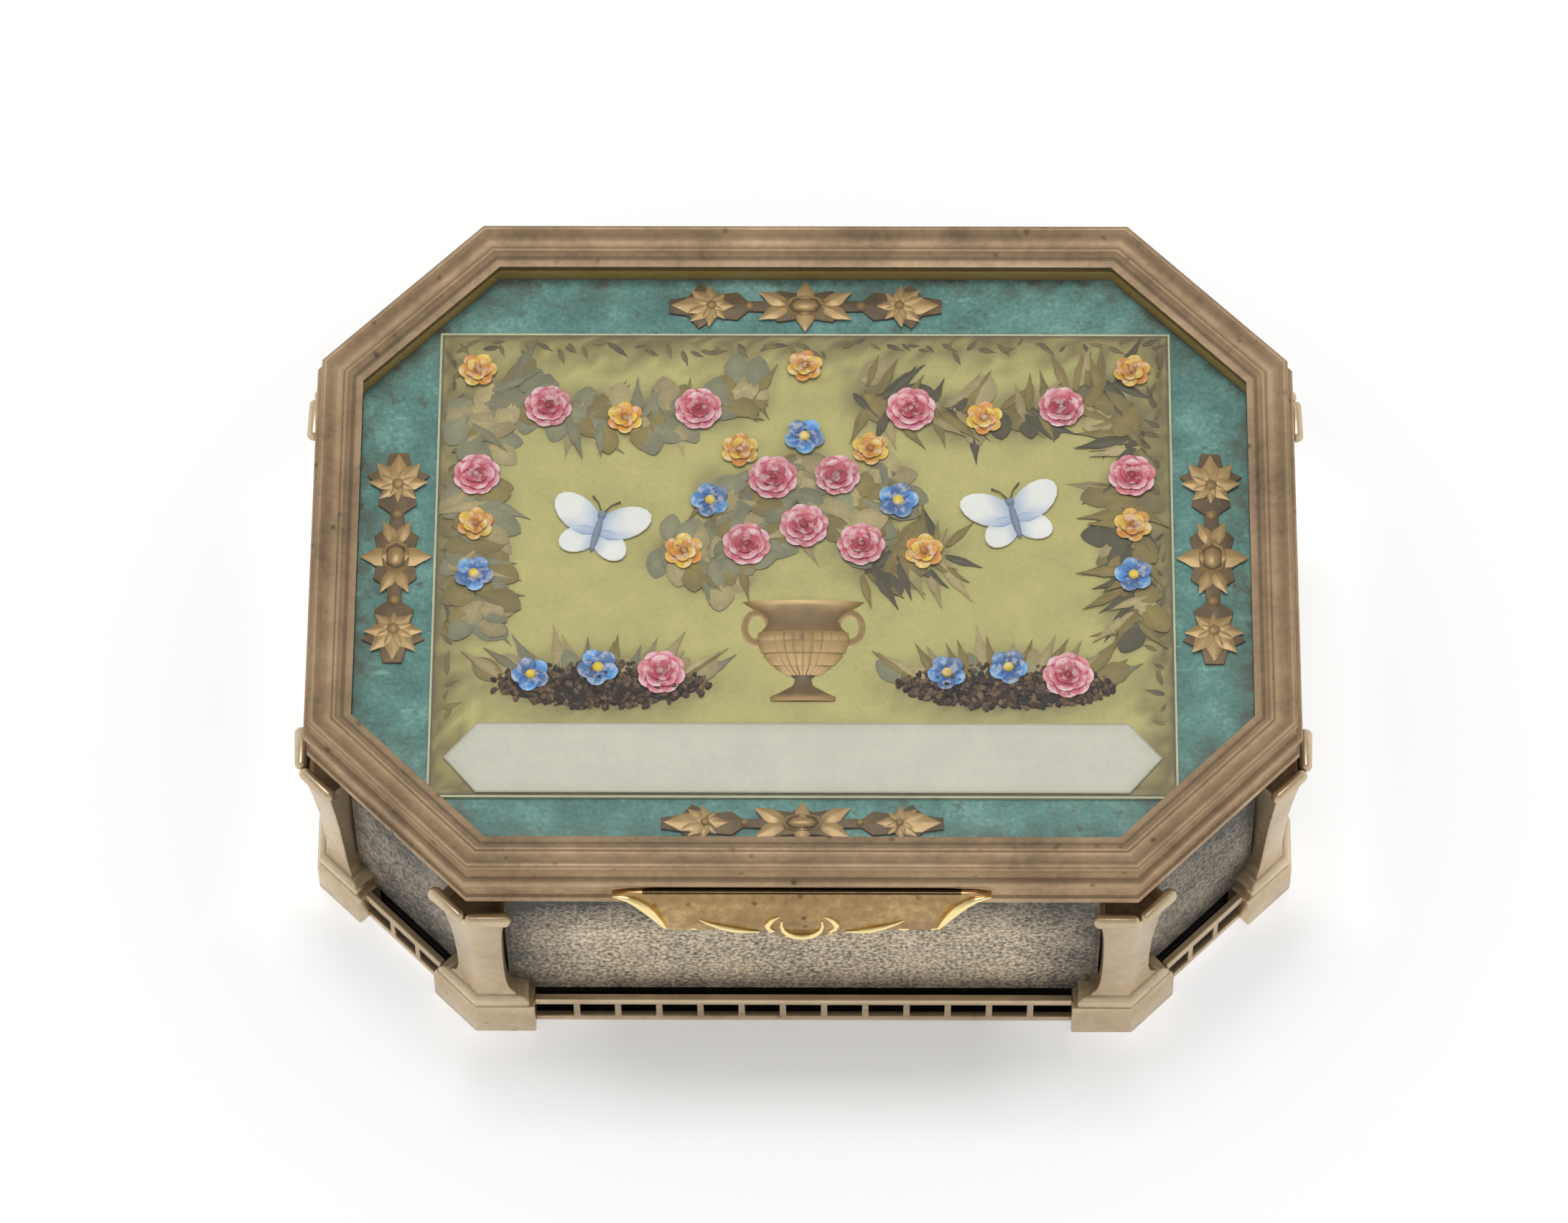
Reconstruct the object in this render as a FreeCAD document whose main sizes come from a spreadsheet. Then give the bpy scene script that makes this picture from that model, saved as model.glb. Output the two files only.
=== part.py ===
import FreeCAD, Part
import Sketcher
import math
import os
from types import SimpleNamespace

# A small keepsake casket of gilt metal: a cut-cornered box on a pierced gallery, with a pilaster at each
# corner and a hinged lid that frames a collage under glass. Millimetres, +Z up, the front towards -Y,
# and the origin on the ground under the middle of the box.

# Driving sizes. An "inset" or "reach" is measured square to a side from the lid's lower outline, inward
# or outward, and a "rise" upward from the seam between case and lid.
SIZES = {
    # Outline of the lid's lower edge, and the height of the seam under it
    "lid_width": 90.0,
    "lid_depth": 68.0,
    "corner_cut": 14.8,
    "seam_height": 25.8,
    "seam_gap": 0.1,
    # Lid moulding: its outside stacked up from the foot, then its top from the crest in to the sight edge
    "foot_round": 0.2,
    "foot_bead_height": 0.95,
    "step_height": 0.15,
    "band_height": 1.85,
    "band_inset": 0.3,
    "band_hollow": 0.12,
    "middle_bead_height": 1.0,
    "middle_bead_relief": 0.16,
    "neck_height": 1.3,
    "neck_inset": 0.45,
    "neck_hollow": 0.14,
    "crest_height": 0.45,
    "crest_inset": 0.4,
    "crest_width": 0.6,
    "crest_relief": 0.16,
    "cove_width": 1.4,
    "cove_hollow": 0.22,
    "ridge_width": 0.5,
    "ridge_drop": 0.6,
    "ridge_relief": 0.14,
    "sight_drop": 0.5,
    "sight_hollow": 0.1,
    "sight_lip": 0.45,
    # Inside of the lid: the hollow over the case's bezel, and the stack that the rabbet holds
    "bezel_clearance": 0.4,
    "bezel_headroom": 0.5,
    "stack_clearance": 0.3,
    "glass_overlap": 0.6,
    "fit_clearance": 0.05,
    "glass_thickness": 0.9,
    "slip_thickness": 0.4,
    "air_gap": 1.35,
    "mount_thickness": 0.5,
    "back_plate_thickness": 0.6,
    # Case wall, its panels and the rim that carries the lid
    "panel_inset": 2.0,
    "panel_thickness": 0.5,
    "wall_thickness": 0.8,
    "bezel_rise": 1.8,
    "rim_inset": 0.7,
    "rim_thickness": 1.0,
    "floor_height": 0.6,
    "floor_thickness": 1.0,
    # Plinth blocks; widths of corner pieces run from the case wall's corner along each side
    "plinth_height": 4.4,
    "plinth_width": 4.4,
    "plinth_reach": 0.4,
    "plinth_cap": 0.9,
    "plinth_cap_inset": 0.3,
    # Pilasters
    "shaft_width": 2.1,
    "shaft_foot_inset": 0.7,
    "shaft_head_reach": 0.5,
    "shaft_curve": 0.3,
    "lower_torus_width": 3.95,
    "lower_torus_height": 1.7,
    "lower_torus_inset": 0.35,
    "upper_torus_width": 3.05,
    "upper_torus_height": 1.2,
    "upper_torus_inset": 0.55,
    "torus_relief": 0.45,
    "capital_width": 2.45,
    "capital_height": 2.6,
    "capital_reach": 1.45,
    "capital_lip": 0.9,
    "capital_drop": 0.4,
    "capital_curve": 0.35,
    "capital_well": 1.0,
    # Pierced gallery between the plinths
    "gallery_inset": 0.7,
    "gallery_thickness": 0.6,
    "gallery_foot": 0.25,
    "gallery_top": 4.5,
    "upper_rail_height": 0.9,
    "upper_rail_relief": 0.2,
    "lower_rail_height": 0.75,
    "post_width": 0.6,
    "post_pitch": 3.75,
    # Hinge at the back
    "hinge_length": 40.0,
    "hinge_reach": 1.35,
    "knuckle_radius": 1.1,
    "knuckle_gap": 0.12,
    "pin_radius": 0.55,
    "pin_clearance": 0.03,
    "web_height": 0.65,
    # Thumb-piece on the lid's front
    "thumb_width": 34.0,
    "thumb_top_rise": 2.9,
    "thumb_drop": 2.75,
    "thumb_reach": 2.45,
    "thumb_sheet": 0.5,
    "thumb_curve": 0.55,
    # Card, strip and gilt paper ornaments under the glass
    "side_border": 7.0,
    "back_border": 6.1,
    "front_border": 5.1,
    "card_thickness": 0.35,
    "strip_point": 3.0,
    "strip_depth": 7.1,
    "strip_end_margin": 1.4,
    "strip_front_margin": 0.4,
    "paper_thickness": 0.2,
    "ornament_thickness": 0.3,
    "ornament_margin": 0.6,
    "long_ornament": 25.4,
    "short_ornament": 22.0,
    # Cut-paper collage, with its pieces' sizes as drawn for a picture field of this width and depth
    "drawn_field_width": 67.8,
    "drawn_field_depth": 41.1,
    "leaf_thickness": 0.12,
    "spray_length": 5.0,
    "spray_width": 3.2,
    "frond_length": 8.6,
    "frond_ring": 9.4,
    "mound_width": 20.0,
    "mound_depth": 4.6,
    "urn_width": 12.0,
    "urn_height": 11.5,
    "butterfly_span": 9.6,
    "butterfly_height": 7.0,
    "rose_radius": 2.2,
    "blue_flower_radius": 1.9,
    "yellow_flower_radius": 1.8,
    "flower_relief": 0.6,
}

# Sides and corners counter-clockwise from the front, seen from above. A corner is named for the side it
# belongs to and the end of that side.
SIDES = ["front", "front_right_corner", "right", "back_right_corner",
         "back", "back_left_corner", "left", "front_left_corner"]
CORNERS = ["front_left", "front_right", "right_front", "right_back",
           "back_right", "back_left", "left_back", "left_front"]
CORNER_ANGLE = 45.0
KNUCKLE_COUNT = 5

# An outline that moves outward by one length grows its corner cut by this share of it.
CUT_GROWTH_SHARE = 2 - math.sqrt(2)
DIAGONAL_SHARE = math.sqrt(2) / 2

# Places in the collage, as shares of half the width and half the depth of the picture field, which is
# the card behind the strip, from the field's middle.
ROSE_SHARES = [(0.00, -0.005), (-0.155, -0.100), (0.155, -0.100), (-0.085, 0.243), (0.09, 0.255),
               (-0.70, 0.610), (-0.29, 0.598), (0.29, 0.598), (0.70, 0.610),
               (-0.89, 0.255), (0.89, 0.255), (-0.38, -0.750), (0.71, -0.762)]
BLUE_SHARES = [(0.00, 0.456), (-0.255, 0.125), (0.255, 0.125), (-0.73, -0.762), (-0.55, -0.726),
               (0.385, -0.750), (0.55, -0.721), (-0.89, -0.253), (0.89, -0.253)]
YELLOW_SHARES = [(-0.49, 0.551), (0.49, 0.551), (0.00, 0.823), (-0.895, 0.799), (0.895, 0.799),
                 (-0.325, -0.135), (0.325, -0.135), (-0.175, 0.385), (0.18, 0.391),
                 (-0.89, 0.001), (0.89, 0.001)]
BUTTERFLY_SHARES = [(-0.56, -0.029), (0.57, 0.042)]
SWAG_SHARES = [(0.79, 0.693), (0.60, 0.574), (0.40, 0.562), (0.20, 0.657)]
SWAG_TILTS = [-24.0, -8.0, 6.0, 22.0]
DROP_SHARES = [0.527, 0.125, -0.123, -0.384]
DROP_SIDE_SHARE = 0.89
FROND_ANGLES = [15.0, 52.0, 90.0, 128.0, 165.0]
FROND_CENTRE_SHARE = -0.289
MOUND_SHARES = [(-0.545, -0.809), (0.545, -0.809)]
URN_MIDDLE_SHARE = -0.608

# Half outlines, as shares of half the piece's width and half its height, from the bottom up.
URN_HALF_SHARES = [(0.42, -1.0), (0.42, -0.84), (0.14, -0.68), (0.14, -0.52), (0.66, -0.16),
                   (0.72, 0.38), (0.95, 0.58), (0.95, 0.78)]
BUTTERFLY_HALF_SHARES = [(0.05, -0.55), (0.45, -1.0), (0.70, -0.62), (0.48, -0.12), (0.97, 0.28),
                         (1.0, 0.84), (0.62, 0.97), (0.06, 0.22), (0.04, 0.5)]
ORNAMENT_QUARTER_SHARES = [(1.0, 0.30), (0.86, 0.42), (0.78, 1.0), (0.66, 0.50), (0.50, 0.62),
                           (0.42, 0.22), (0.30, 0.24), (0.20, 0.70), (0.07, 0.58), (0.0, 0.95)]
# Half lower edge of the thumb-piece from the shell in its middle to the scroll's tip: shares of half its
# width and of its drop under the seam, and how far each stretch after a point bulges, as a share of the
# sheet it is cut from.
THUMB_EDGE_SHARES = [(0.0, -1.0), (0.16, -0.68), (0.25, -0.66), (0.56, -0.50), (0.715, -0.46),
                     (0.772, 0.20), (0.843, 0.64), (0.915, 0.82), (1.0, 0.93)]
THUMB_BULGE_SHARES = [0.8, 0.2, -0.3, 0.2, -0.1, -0.1, -0.1, -0.05]


class Size:
    """A length that keeps its value together with the sheet expression that gives it."""

    def __init__(self, value, text):
        self.value = value
        self.text = text

    def __add__(self, other):
        return Size(self.value + as_size(other).value, "(%s + %s)" % (self.text, as_size(other).text))

    def __sub__(self, other):
        return Size(self.value - as_size(other).value, "(%s - %s)" % (self.text, as_size(other).text))

    def __mul__(self, other):
        return Size(self.value * as_size(other).value, "(%s * %s)" % (self.text, as_size(other).text))

    def __truediv__(self, other):
        return Size(self.value / as_size(other).value, "(%s / %s)" % (self.text, as_size(other).text))

    def __neg__(self):
        return Size(-self.value, "(0 - %s)" % self.text)


def as_size(number):
    """A plain number or a Size, as a Size."""
    if isinstance(number, Size):
        return number
    return Size(float(number), repr(float(number)))


def smaller(first, second):
    """The lesser of two sizes."""
    return Size(min(first.value, second.value), "min(%s; %s)" % (first.text, second.text))


def root(size):
    """The square root of a ratio of sizes."""
    return Size(math.sqrt(size.value), "sqrt(%s)" % size.text)


doc = FreeCAD.newDocument("KeepsakeCasket")
sheet = doc.addObject("Spreadsheet::Sheet", "sizes")
for row, (alias, number) in enumerate(SIZES.items(), 1):
    sheet.set("A%d" % row, alias)
    sheet.set("B%d" % row, str(number))
    sheet.setAlias("B%d" % row, alias)
doc.recompute()

s = SimpleNamespace(**{alias: Size(number, "sizes." + alias) for alias, number in SIZES.items()})
NOTHING = as_size(0)
pieces = []

# Heights and offsets that several pieces share
seam = s.seam_height
wall_offset = -(s.panel_inset + s.panel_thickness)
wall_inner_offset = wall_offset - s.wall_thickness
floor_top = s.floor_height + s.floor_thickness
rim_top = seam - s.seam_gap
rim_bottom = rim_top - s.rim_thickness

# The lid's moulding, as rises from the seam and insets from its lower outline
band_bottom = s.foot_bead_height + s.step_height
band_top = band_bottom + s.band_height
middle_bead_bottom = band_top + s.step_height
middle_bead_top = middle_bead_bottom + s.middle_bead_height
neck_bottom = middle_bead_top + s.step_height
neck_top = neck_bottom + s.neck_height
crest_rise = neck_top + s.crest_height
crest_inner = s.crest_inset + s.crest_width
ridge_outer = crest_inner + s.cove_width
ridge_inner = ridge_outer + s.ridge_width
ridge_rise = crest_rise - s.ridge_drop
sight_rise = ridge_rise - s.sight_drop
skirt_inset = -wall_offset - s.bezel_clearance
rabbet_inset = -wall_inner_offset + s.stack_clearance
sight_inset = rabbet_inset + s.glass_overlap

# The stack under the lid's sight edge
glass_top = seam + sight_rise - s.sight_lip
glass_bottom = glass_top - s.glass_thickness
stack_offset = -(rabbet_inset + s.fit_clearance)
mount_top = glass_bottom - s.air_gap
mount_bottom = mount_top - s.mount_thickness
mount_offset = stack_offset - s.slip_thickness - s.fit_clearance
mount_half_width = s.lid_width / 2 + mount_offset
mount_half_depth = s.lid_depth / 2 + mount_offset
card_width = (mount_half_width - s.side_border) * 2
card_back = mount_half_depth - s.back_border
card_front = s.front_border - mount_half_depth
card_depth = card_back - card_front
card_middle = (card_back + card_front) / 2
card_top = mount_top + s.card_thickness
leaf_top = card_top + s.leaf_thickness
strip_back = card_front + s.strip_front_margin + s.strip_depth
field_depth = card_back - strip_back
field_middle = (card_back + strip_back) / 2
# In a smaller or larger field the collage's pieces change size half as strongly as their places do.
field_share = smaller(card_width / s.drawn_field_width, field_depth / s.drawn_field_depth)
collage_share = root(field_share)
hinge_y = s.lid_depth / 2 + s.hinge_reach


def bind(thing, name, size):
    """Ties one property of an object to the sheet."""
    thing.setExpression(name, size.text)


def octagon(offset):
    """The eight corners of the lid's lower outline moved outward by offset, from the front left."""
    half_width = s.lid_width / 2 + offset
    half_depth = s.lid_depth / 2 + offset
    cut = s.corner_cut + offset * CUT_GROWTH_SHARE
    short_width = half_width - cut
    short_depth = half_depth - cut
    return [(-short_width, -half_depth), (short_width, -half_depth),
            (half_width, -short_depth), (half_width, short_depth),
            (short_width, half_depth), (-short_width, half_depth),
            (-half_width, short_depth), (-half_width, -short_depth)]


def new_body(label):
    body = doc.addObject("PartDesign::Body", label)
    body.Label = label
    return body


def new_sketch(body, role, name, height=NOTHING):
    """A sketch on one of the body's own origin planes, moved along the plane's normal by height."""
    sketch = body.newObject("Sketcher::SketchObject", name)
    for feature in body.Origin.OriginFeatures:
        if feature.Role == role:
            sketch.AttachmentSupport = [(feature, "")]
    sketch.MapMode = "FlatFace"
    sketch.AttachmentOffset = FreeCAD.Placement(FreeCAD.Vector(0, 0, height.value), FreeCAD.Rotation())
    bind(sketch, "AttachmentOffset.Base.z", height)
    return sketch


def pin(sketch, geometry, end, point):
    """Holds one end of a line or arc at a point given by two sizes."""
    for kind, size in (("DistanceX", point[0]), ("DistanceY", point[1])):
        index = sketch.addConstraint(Sketcher.Constraint(kind, -1, 1, geometry, end, size.value))
        bind(sketch, "Constraints[%d]" % index, size)


def add_line(sketch, start, end):
    """Adds a straight stretch and returns it with its first and last ends."""
    line = Part.LineSegment(FreeCAD.Vector(start[0].value, start[1].value, 0),
                            FreeCAD.Vector(end[0].value, end[1].value, 0))
    return sketch.addGeometry(line), 1, 2


def add_arc(sketch, start, end, bulge):
    """Adds an arc that stands out to the right of the way from start to end by bulge."""
    run_x = end[0] - start[0]
    run_y = end[1] - start[1]
    chord = math.hypot(run_x.value, run_y.value)
    first = FreeCAD.Vector(start[0].value, start[1].value, 0)
    last = FreeCAD.Vector(end[0].value, end[1].value, 0)
    right = FreeCAD.Vector(run_y.value / chord, -run_x.value / chord, 0)
    middle = (first + last) * 0.5 + right * bulge.value
    index = sketch.addGeometry(Part.Arc(first, middle, last))
    size = bulge if bulge.value > 0 else -bulge
    radius = ((run_x * run_x + run_y * run_y) / 4 + size * size) / (size * 2)
    held = sketch.addConstraint(Sketcher.Constraint("Radius", index, radius.value))
    bind(sketch, "Constraints[%d]" % held, radius)
    gaps = [sketch.getPoint(index, tip).distanceToPoint(first) for tip in (1, 2)]
    return (index, 1, 2) if gaps[0] < gaps[1] else (index, 2, 1)


def draw(sketch, points, bulges=None, closed=True):
    """Draws an outline through points; bulges maps a point's number to the bulge of the stretch after it."""
    bulges = bulges or {}
    count = len(points)
    stretches = []
    for number in range(count if closed else count - 1):
        start, end = points[number], points[(number + 1) % count]
        if number in bulges:
            stretches.append(add_arc(sketch, start, end, bulges[number]))
        else:
            stretches.append(add_line(sketch, start, end))
    for number, (geometry, first, last) in enumerate(stretches):
        pin(sketch, geometry, first, points[number])
        if closed or number + 1 < len(stretches):
            next_one, next_first = stretches[(number + 1) % len(stretches)][:2]
            sketch.addConstraint(Sketcher.Constraint("Coincident", geometry, last, next_one, next_first))
    if not closed:
        geometry, first, last = stretches[-1]
        pin(sketch, geometry, last, points[-1])


def pad(body, sketch, length, name):
    """Thickens a sketch along its normal."""
    feature = body.newObject("PartDesign::Pad", name)
    feature.Profile = sketch
    feature.Length = length.value
    bind(feature, "Length", length)
    return feature


def sweep(body, profile, spine, name):
    """Runs a section along a spine with mitred corners."""
    feature = body.newObject("PartDesign::AdditivePipe", name)
    feature.Profile = profile
    feature.Spine = (spine, ["Edge%d" % (edge + 1) for edge in range(spine.GeometryCount)])
    feature.Transition = "Right corner"
    return feature


def keep(piece):
    """Lists a finished piece for checking and writing."""
    pieces.append(piece)
    return piece


def octagon_plate(label, bottom, thickness, offset, inner_offset=None):
    """A flat plate of the box's plan, or a ring where an inner offset is given."""
    body = new_body(label)
    sketch = new_sketch(body, "XY_Plane", label + "_plan", bottom)
    draw(sketch, octagon(offset))
    if inner_offset is not None:
        draw(sketch, octagon(inner_offset))
    pad(body, sketch, thickness, label + "_pad")
    return keep(body)


def place(piece, point, height, turn):
    """Puts a piece at a point given by two sizes and turns it about the vertical."""
    piece.Placement = FreeCAD.Placement(FreeCAD.Vector(point[0].value, point[1].value, height.value),
                                        FreeCAD.Rotation(FreeCAD.Vector(0, 0, 1), turn))
    bind(piece, "Placement.Base.x", point[0])
    bind(piece, "Placement.Base.y", point[1])
    bind(piece, "Placement.Base.z", height)


def side_middle(number, offset):
    """The middle of one side of the outline at an offset."""
    corners = octagon(offset)
    start, end = corners[number], corners[(number + 1) % len(corners)]
    return (start[0] + end[0]) / 2, (start[1] + end[1]) / 2


def side_length(number, offset):
    """The length of one side of the outline at an offset."""
    half_width = s.lid_width / 2 + offset
    half_depth = s.lid_depth / 2 + offset
    cut = s.corner_cut + offset * CUT_GROWTH_SHARE
    if number % 2:
        return cut / DIAGONAL_SHARE
    return (half_width - cut) * 2 if number % 4 == 0 else (half_depth - cut) * 2


def corner_run(body, name, width, section, bulges=None):
    """Runs a section round one corner of the case wall, as far as width along both sides.

    In the body's own frame the corner stands at the origin, one side leaves along +X and outward is -Y.
    The section's points are distances out from the wall and heights.
    """
    spine = new_sketch(body, "XY_Plane", name + "_path")
    slant = width * DIAGONAL_SHARE
    draw(spine, [(width, NOTHING), (NOTHING, NOTHING), (-slant, slant)], closed=False)
    profile = new_sketch(body, "YZ_Plane", name + "_section", width)
    draw(profile, [(-out, height) for out, height in section], bulges)
    doc.recompute()
    return sweep(body, profile, spine, name + "_run")


def lid_frame():
    """The mitred moulding that forms the lid's sides and top and holds the glass in a rabbet."""
    section = [
        (s.foot_round, NOTHING),
        (NOTHING, s.foot_round),
        (NOTHING, s.foot_bead_height),
        (s.band_inset, band_bottom),
        (s.band_inset, band_top),
        (NOTHING, middle_bead_bottom),
        (NOTHING, middle_bead_top),
        (s.neck_inset, neck_bottom),
        (s.neck_inset, neck_top),
        (s.crest_inset, crest_rise),
        (crest_inner, crest_rise),
        (ridge_outer, ridge_rise),
        (ridge_inner, ridge_rise),
        (sight_inset, sight_rise),
        (sight_inset, sight_rise - s.sight_lip),
        (rabbet_inset, sight_rise - s.sight_lip),
        (rabbet_inset, s.bezel_rise + s.bezel_headroom),
        (skirt_inset, s.bezel_rise + s.bezel_headroom),
        (skirt_inset, NOTHING),
    ]
    # Beads stand out of the section and hollows go into it.
    bulges = {3: s.band_hollow, 5: -s.middle_bead_relief, 7: s.neck_hollow, 9: -s.crest_relief,
              10: s.cove_hollow, 11: -s.ridge_relief, 12: s.sight_hollow}
    body = new_body("lid_frame")
    spine = new_sketch(body, "XY_Plane", "lid_frame_path", seam)
    draw(spine, octagon(NOTHING))
    profile = new_sketch(body, "YZ_Plane", "lid_frame_section")
    draw(profile, [(inset - s.lid_depth / 2, seam + rise) for inset, rise in section], bulges)
    doc.recompute()
    sweep(body, profile, spine, "lid_frame_run")
    return keep(body)


def case_shell():
    """Floor, wall with the bezel that stands up into the lid, and the rim that carries the lid."""
    octagon_plate("floor_plate", s.floor_height, s.floor_thickness, wall_offset)
    octagon_plate("case_wall", floor_top, seam + s.bezel_rise - floor_top, wall_offset, wall_inner_offset)
    octagon_plate("case_rim", rim_bottom, s.rim_thickness, -s.rim_inset, wall_offset)


def side_panel(number):
    """One side's facing, on the case wall between two pilasters, from the plinths up to the rim."""
    label = SIDES[number] + "_panel"
    half = side_length(number, wall_offset) / 2 - s.shaft_width
    body = new_body(label)
    sketch = new_sketch(body, "XZ_Plane", label + "_face")
    draw(sketch, [(-half, s.plinth_height), (half, s.plinth_height), (half, rim_bottom), (-half, rim_bottom)])
    pad(body, sketch, s.panel_thickness, label + "_pad")
    place(body, side_middle(number, wall_offset), NOTHING, CORNER_ANGLE * number)
    return keep(body)


def plinth(number):
    """The block under one pilaster, wrapped round the corner, with a stepped cap."""
    label = "plinth_" + CORNERS[number]
    reach = s.plinth_reach - wall_offset
    step = s.plinth_height - s.plinth_cap
    body = new_body(label)
    corner_run(body, label, s.plinth_width,
               [(NOTHING, NOTHING), (reach, NOTHING), (reach, step),
                (reach - s.plinth_cap_inset, s.plinth_height), (NOTHING, s.plinth_height)])
    place(body, octagon(wall_offset)[number], NOTHING, CORNER_ANGLE * number)
    return keep(body)


def pilaster(number):
    """One corner pilaster: two rolls at its foot, a shaft that leans outward and a curled capital."""
    label = "pilaster_" + CORNERS[number]
    body = new_body(label)
    face = s.panel_thickness
    foot = s.plinth_height
    lower_top = foot + s.lower_torus_height
    upper_top = lower_top + s.upper_torus_height
    shaft_foot = -wall_offset - s.shaft_foot_inset
    shaft_head = s.shaft_head_reach - wall_offset
    capital_foot = rim_bottom - s.capital_height
    lower_reach = -wall_offset - s.lower_torus_inset
    upper_reach = -wall_offset - s.upper_torus_inset
    lip_reach = s.capital_reach - wall_offset
    lip_top = rim_bottom - s.capital_drop
    well_floor = lip_top - s.capital_well
    rim_reach = -wall_offset - s.rim_inset
    corner_run(body, label + "_shaft", s.shaft_width,
               [(NOTHING, foot), (shaft_foot, foot), (shaft_foot, upper_top), (shaft_head, capital_foot),
                (rim_reach, well_floor), (rim_reach, rim_bottom), (NOTHING, rim_bottom)],
               {2: s.shaft_curve})
    corner_run(body, label + "_lower_roll", s.lower_torus_width,
               [(face, foot), (lower_reach, foot), (lower_reach, lower_top), (face, lower_top)],
               {1: -s.torus_relief})
    corner_run(body, label + "_upper_roll", s.upper_torus_width,
               [(face, lower_top), (upper_reach, lower_top), (upper_reach, upper_top), (face, upper_top)],
               {1: -s.torus_relief})
    corner_run(body, label + "_capital", s.capital_width,
               [(face, capital_foot), (shaft_head, capital_foot), (lip_reach, lip_top - s.capital_lip / 2),
                (lip_reach - s.capital_lip / 2, lip_top), (lip_reach - s.capital_lip, lip_top),
                (rim_reach + s.fit_clearance, well_floor), (face, well_floor)],
               {1: s.capital_curve})
    place(body, octagon(wall_offset)[number], NOTHING, CORNER_ANGLE * number)
    return keep(body)


def gallery(number):
    """A pierced rail between two plinths: a thin foot rail, a row of posts and a rounded top rail."""
    label = SIDES[number] + "_gallery"
    length = side_length(number, wall_offset) - s.plinth_width * 2
    front = -wall_offset - s.gallery_inset
    back = front - s.gallery_thickness
    foot_top = s.gallery_foot + s.lower_rail_height
    top_rail_bottom = s.gallery_top - s.upper_rail_height
    windows = max(2, round(length.value / s.post_pitch.value))
    body = new_body(label)

    foot_section = new_sketch(body, "YZ_Plane", label + "_foot_section", -length / 2)
    draw(foot_section, [(-front, s.gallery_foot), (-back, s.gallery_foot),
                        (-back, foot_top), (-front, foot_top)])
    pad(body, foot_section, length, label + "_foot_rail")

    first_post = length / windows - length / 2
    half_post = s.post_width / 2
    post_plan = new_sketch(body, "XY_Plane", label + "_post_plan", foot_top - s.lower_rail_height / 2)
    draw(post_plan, [(first_post - half_post, -front), (first_post + half_post, -front),
                     (first_post + half_post, -back), (first_post - half_post, -back)])
    post_height = top_rail_bottom - foot_top + (s.lower_rail_height + s.upper_rail_height) / 2
    post = pad(body, post_plan, post_height, label + "_post")
    doc.recompute()
    if windows > 2:
        row_of_posts = body.newObject("PartDesign::LinearPattern", label + "_posts")
        row_of_posts.Originals = [post]
        row_of_posts.Direction = (post_plan, ["H_Axis"])
        row_of_posts.Occurrences = windows - 1
        bind(row_of_posts, "Length", length / windows * (windows - 2))
        body.Tip = row_of_posts
        doc.recompute()

    top_section = new_sketch(body, "YZ_Plane", label + "_top_section", -length / 2)
    draw(top_section, [(-front, top_rail_bottom), (-back, top_rail_bottom),
                       (-back, s.gallery_top), (-front, s.gallery_top)], {3: s.upper_rail_relief})
    top_rail = pad(body, top_section, length, label + "_top_rail")
    body.Tip = top_rail
    place(body, side_middle(number, wall_offset), NOTHING, CORNER_ANGLE * number)
    return keep(body)


def cylinder_along_x(name, radius, start, length):
    """A round bar on the hinge's axis."""
    bar = doc.addObject("Part::Cylinder", name)
    bar.Placement = FreeCAD.Placement(FreeCAD.Vector(start.value, hinge_y.value, seam.value),
                                      FreeCAD.Rotation(FreeCAD.Vector(0, 1, 0), 90))
    bind(bar, "Radius", radius)
    bind(bar, "Height", length)
    bind(bar, "Placement.Base.x", start)
    bind(bar, "Placement.Base.y", hinge_y)
    bind(bar, "Placement.Base.z", seam)
    return bar


def boolean(kind, name, base, tool):
    result = doc.addObject(kind, name)
    result.Base = base
    result.Tool = tool
    return result


def group(label, members):
    """Several separate solids that share one node."""
    compound = doc.addObject("Part::Compound", label)
    compound.Label = label
    compound.Links = members
    return keep(compound)


def knuckle(name, start, length, root, low):
    """A hinge knuckle with its web back to the piece that carries it, bored for the pin."""
    barrel = cylinder_along_x(name + "_barrel", s.knuckle_radius, start, length)
    web = doc.addObject("Part::Box", name + "_web")
    bind(web, "Length", length)
    bind(web, "Width", hinge_y - root)
    bind(web, "Height", s.web_height)
    place(web, (start, root), low, 0)
    solid = boolean("Part::Fuse", name + "_solid", barrel, web)
    bore = cylinder_along_x(name + "_bore", s.pin_radius + s.pin_clearance, start, length)
    return boolean("Part::Cut", name, solid, bore)


def hinge():
    """Knuckles of case and lid in turn along the back, on one pin."""
    pitch = s.hinge_length / KNUCKLE_COUNT
    rim_face = s.lid_depth / 2 - s.rim_inset
    lid_face = s.lid_depth / 2
    case_low = rim_top - s.web_height - s.seam_gap
    lid_low = seam + s.foot_round
    case_knuckles = []
    lid_knuckles = []
    for number in range(KNUCKLE_COUNT):
        start = pitch * number - (s.hinge_length - s.knuckle_gap) / 2
        length = pitch - s.knuckle_gap
        if number % 2 == 0:
            case_knuckles.append(knuckle("case_knuckle_%d" % number, start, length, rim_face, case_low))
        else:
            lid_knuckles.append(knuckle("lid_knuckle_%d" % number, start, length, lid_face, lid_low))
    group("case_hinge_knuckles", case_knuckles)
    group("lid_hinge_knuckles", lid_knuckles)
    rod_length = s.hinge_length - s.knuckle_gap
    rod = cylinder_along_x("hinge_pin", s.pin_radius, -rod_length / 2, rod_length)
    rod.Label = "hinge_pin"
    return keep(rod)


def mirrored_outline(half, width, height):
    """A closed outline from a right half given in shares of half the width and height, bottom up."""
    right = [(width / 2 * across, height / 2 * up) for across, up in half]
    return right + [(-x, y) for x, y in reversed(right)]


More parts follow.
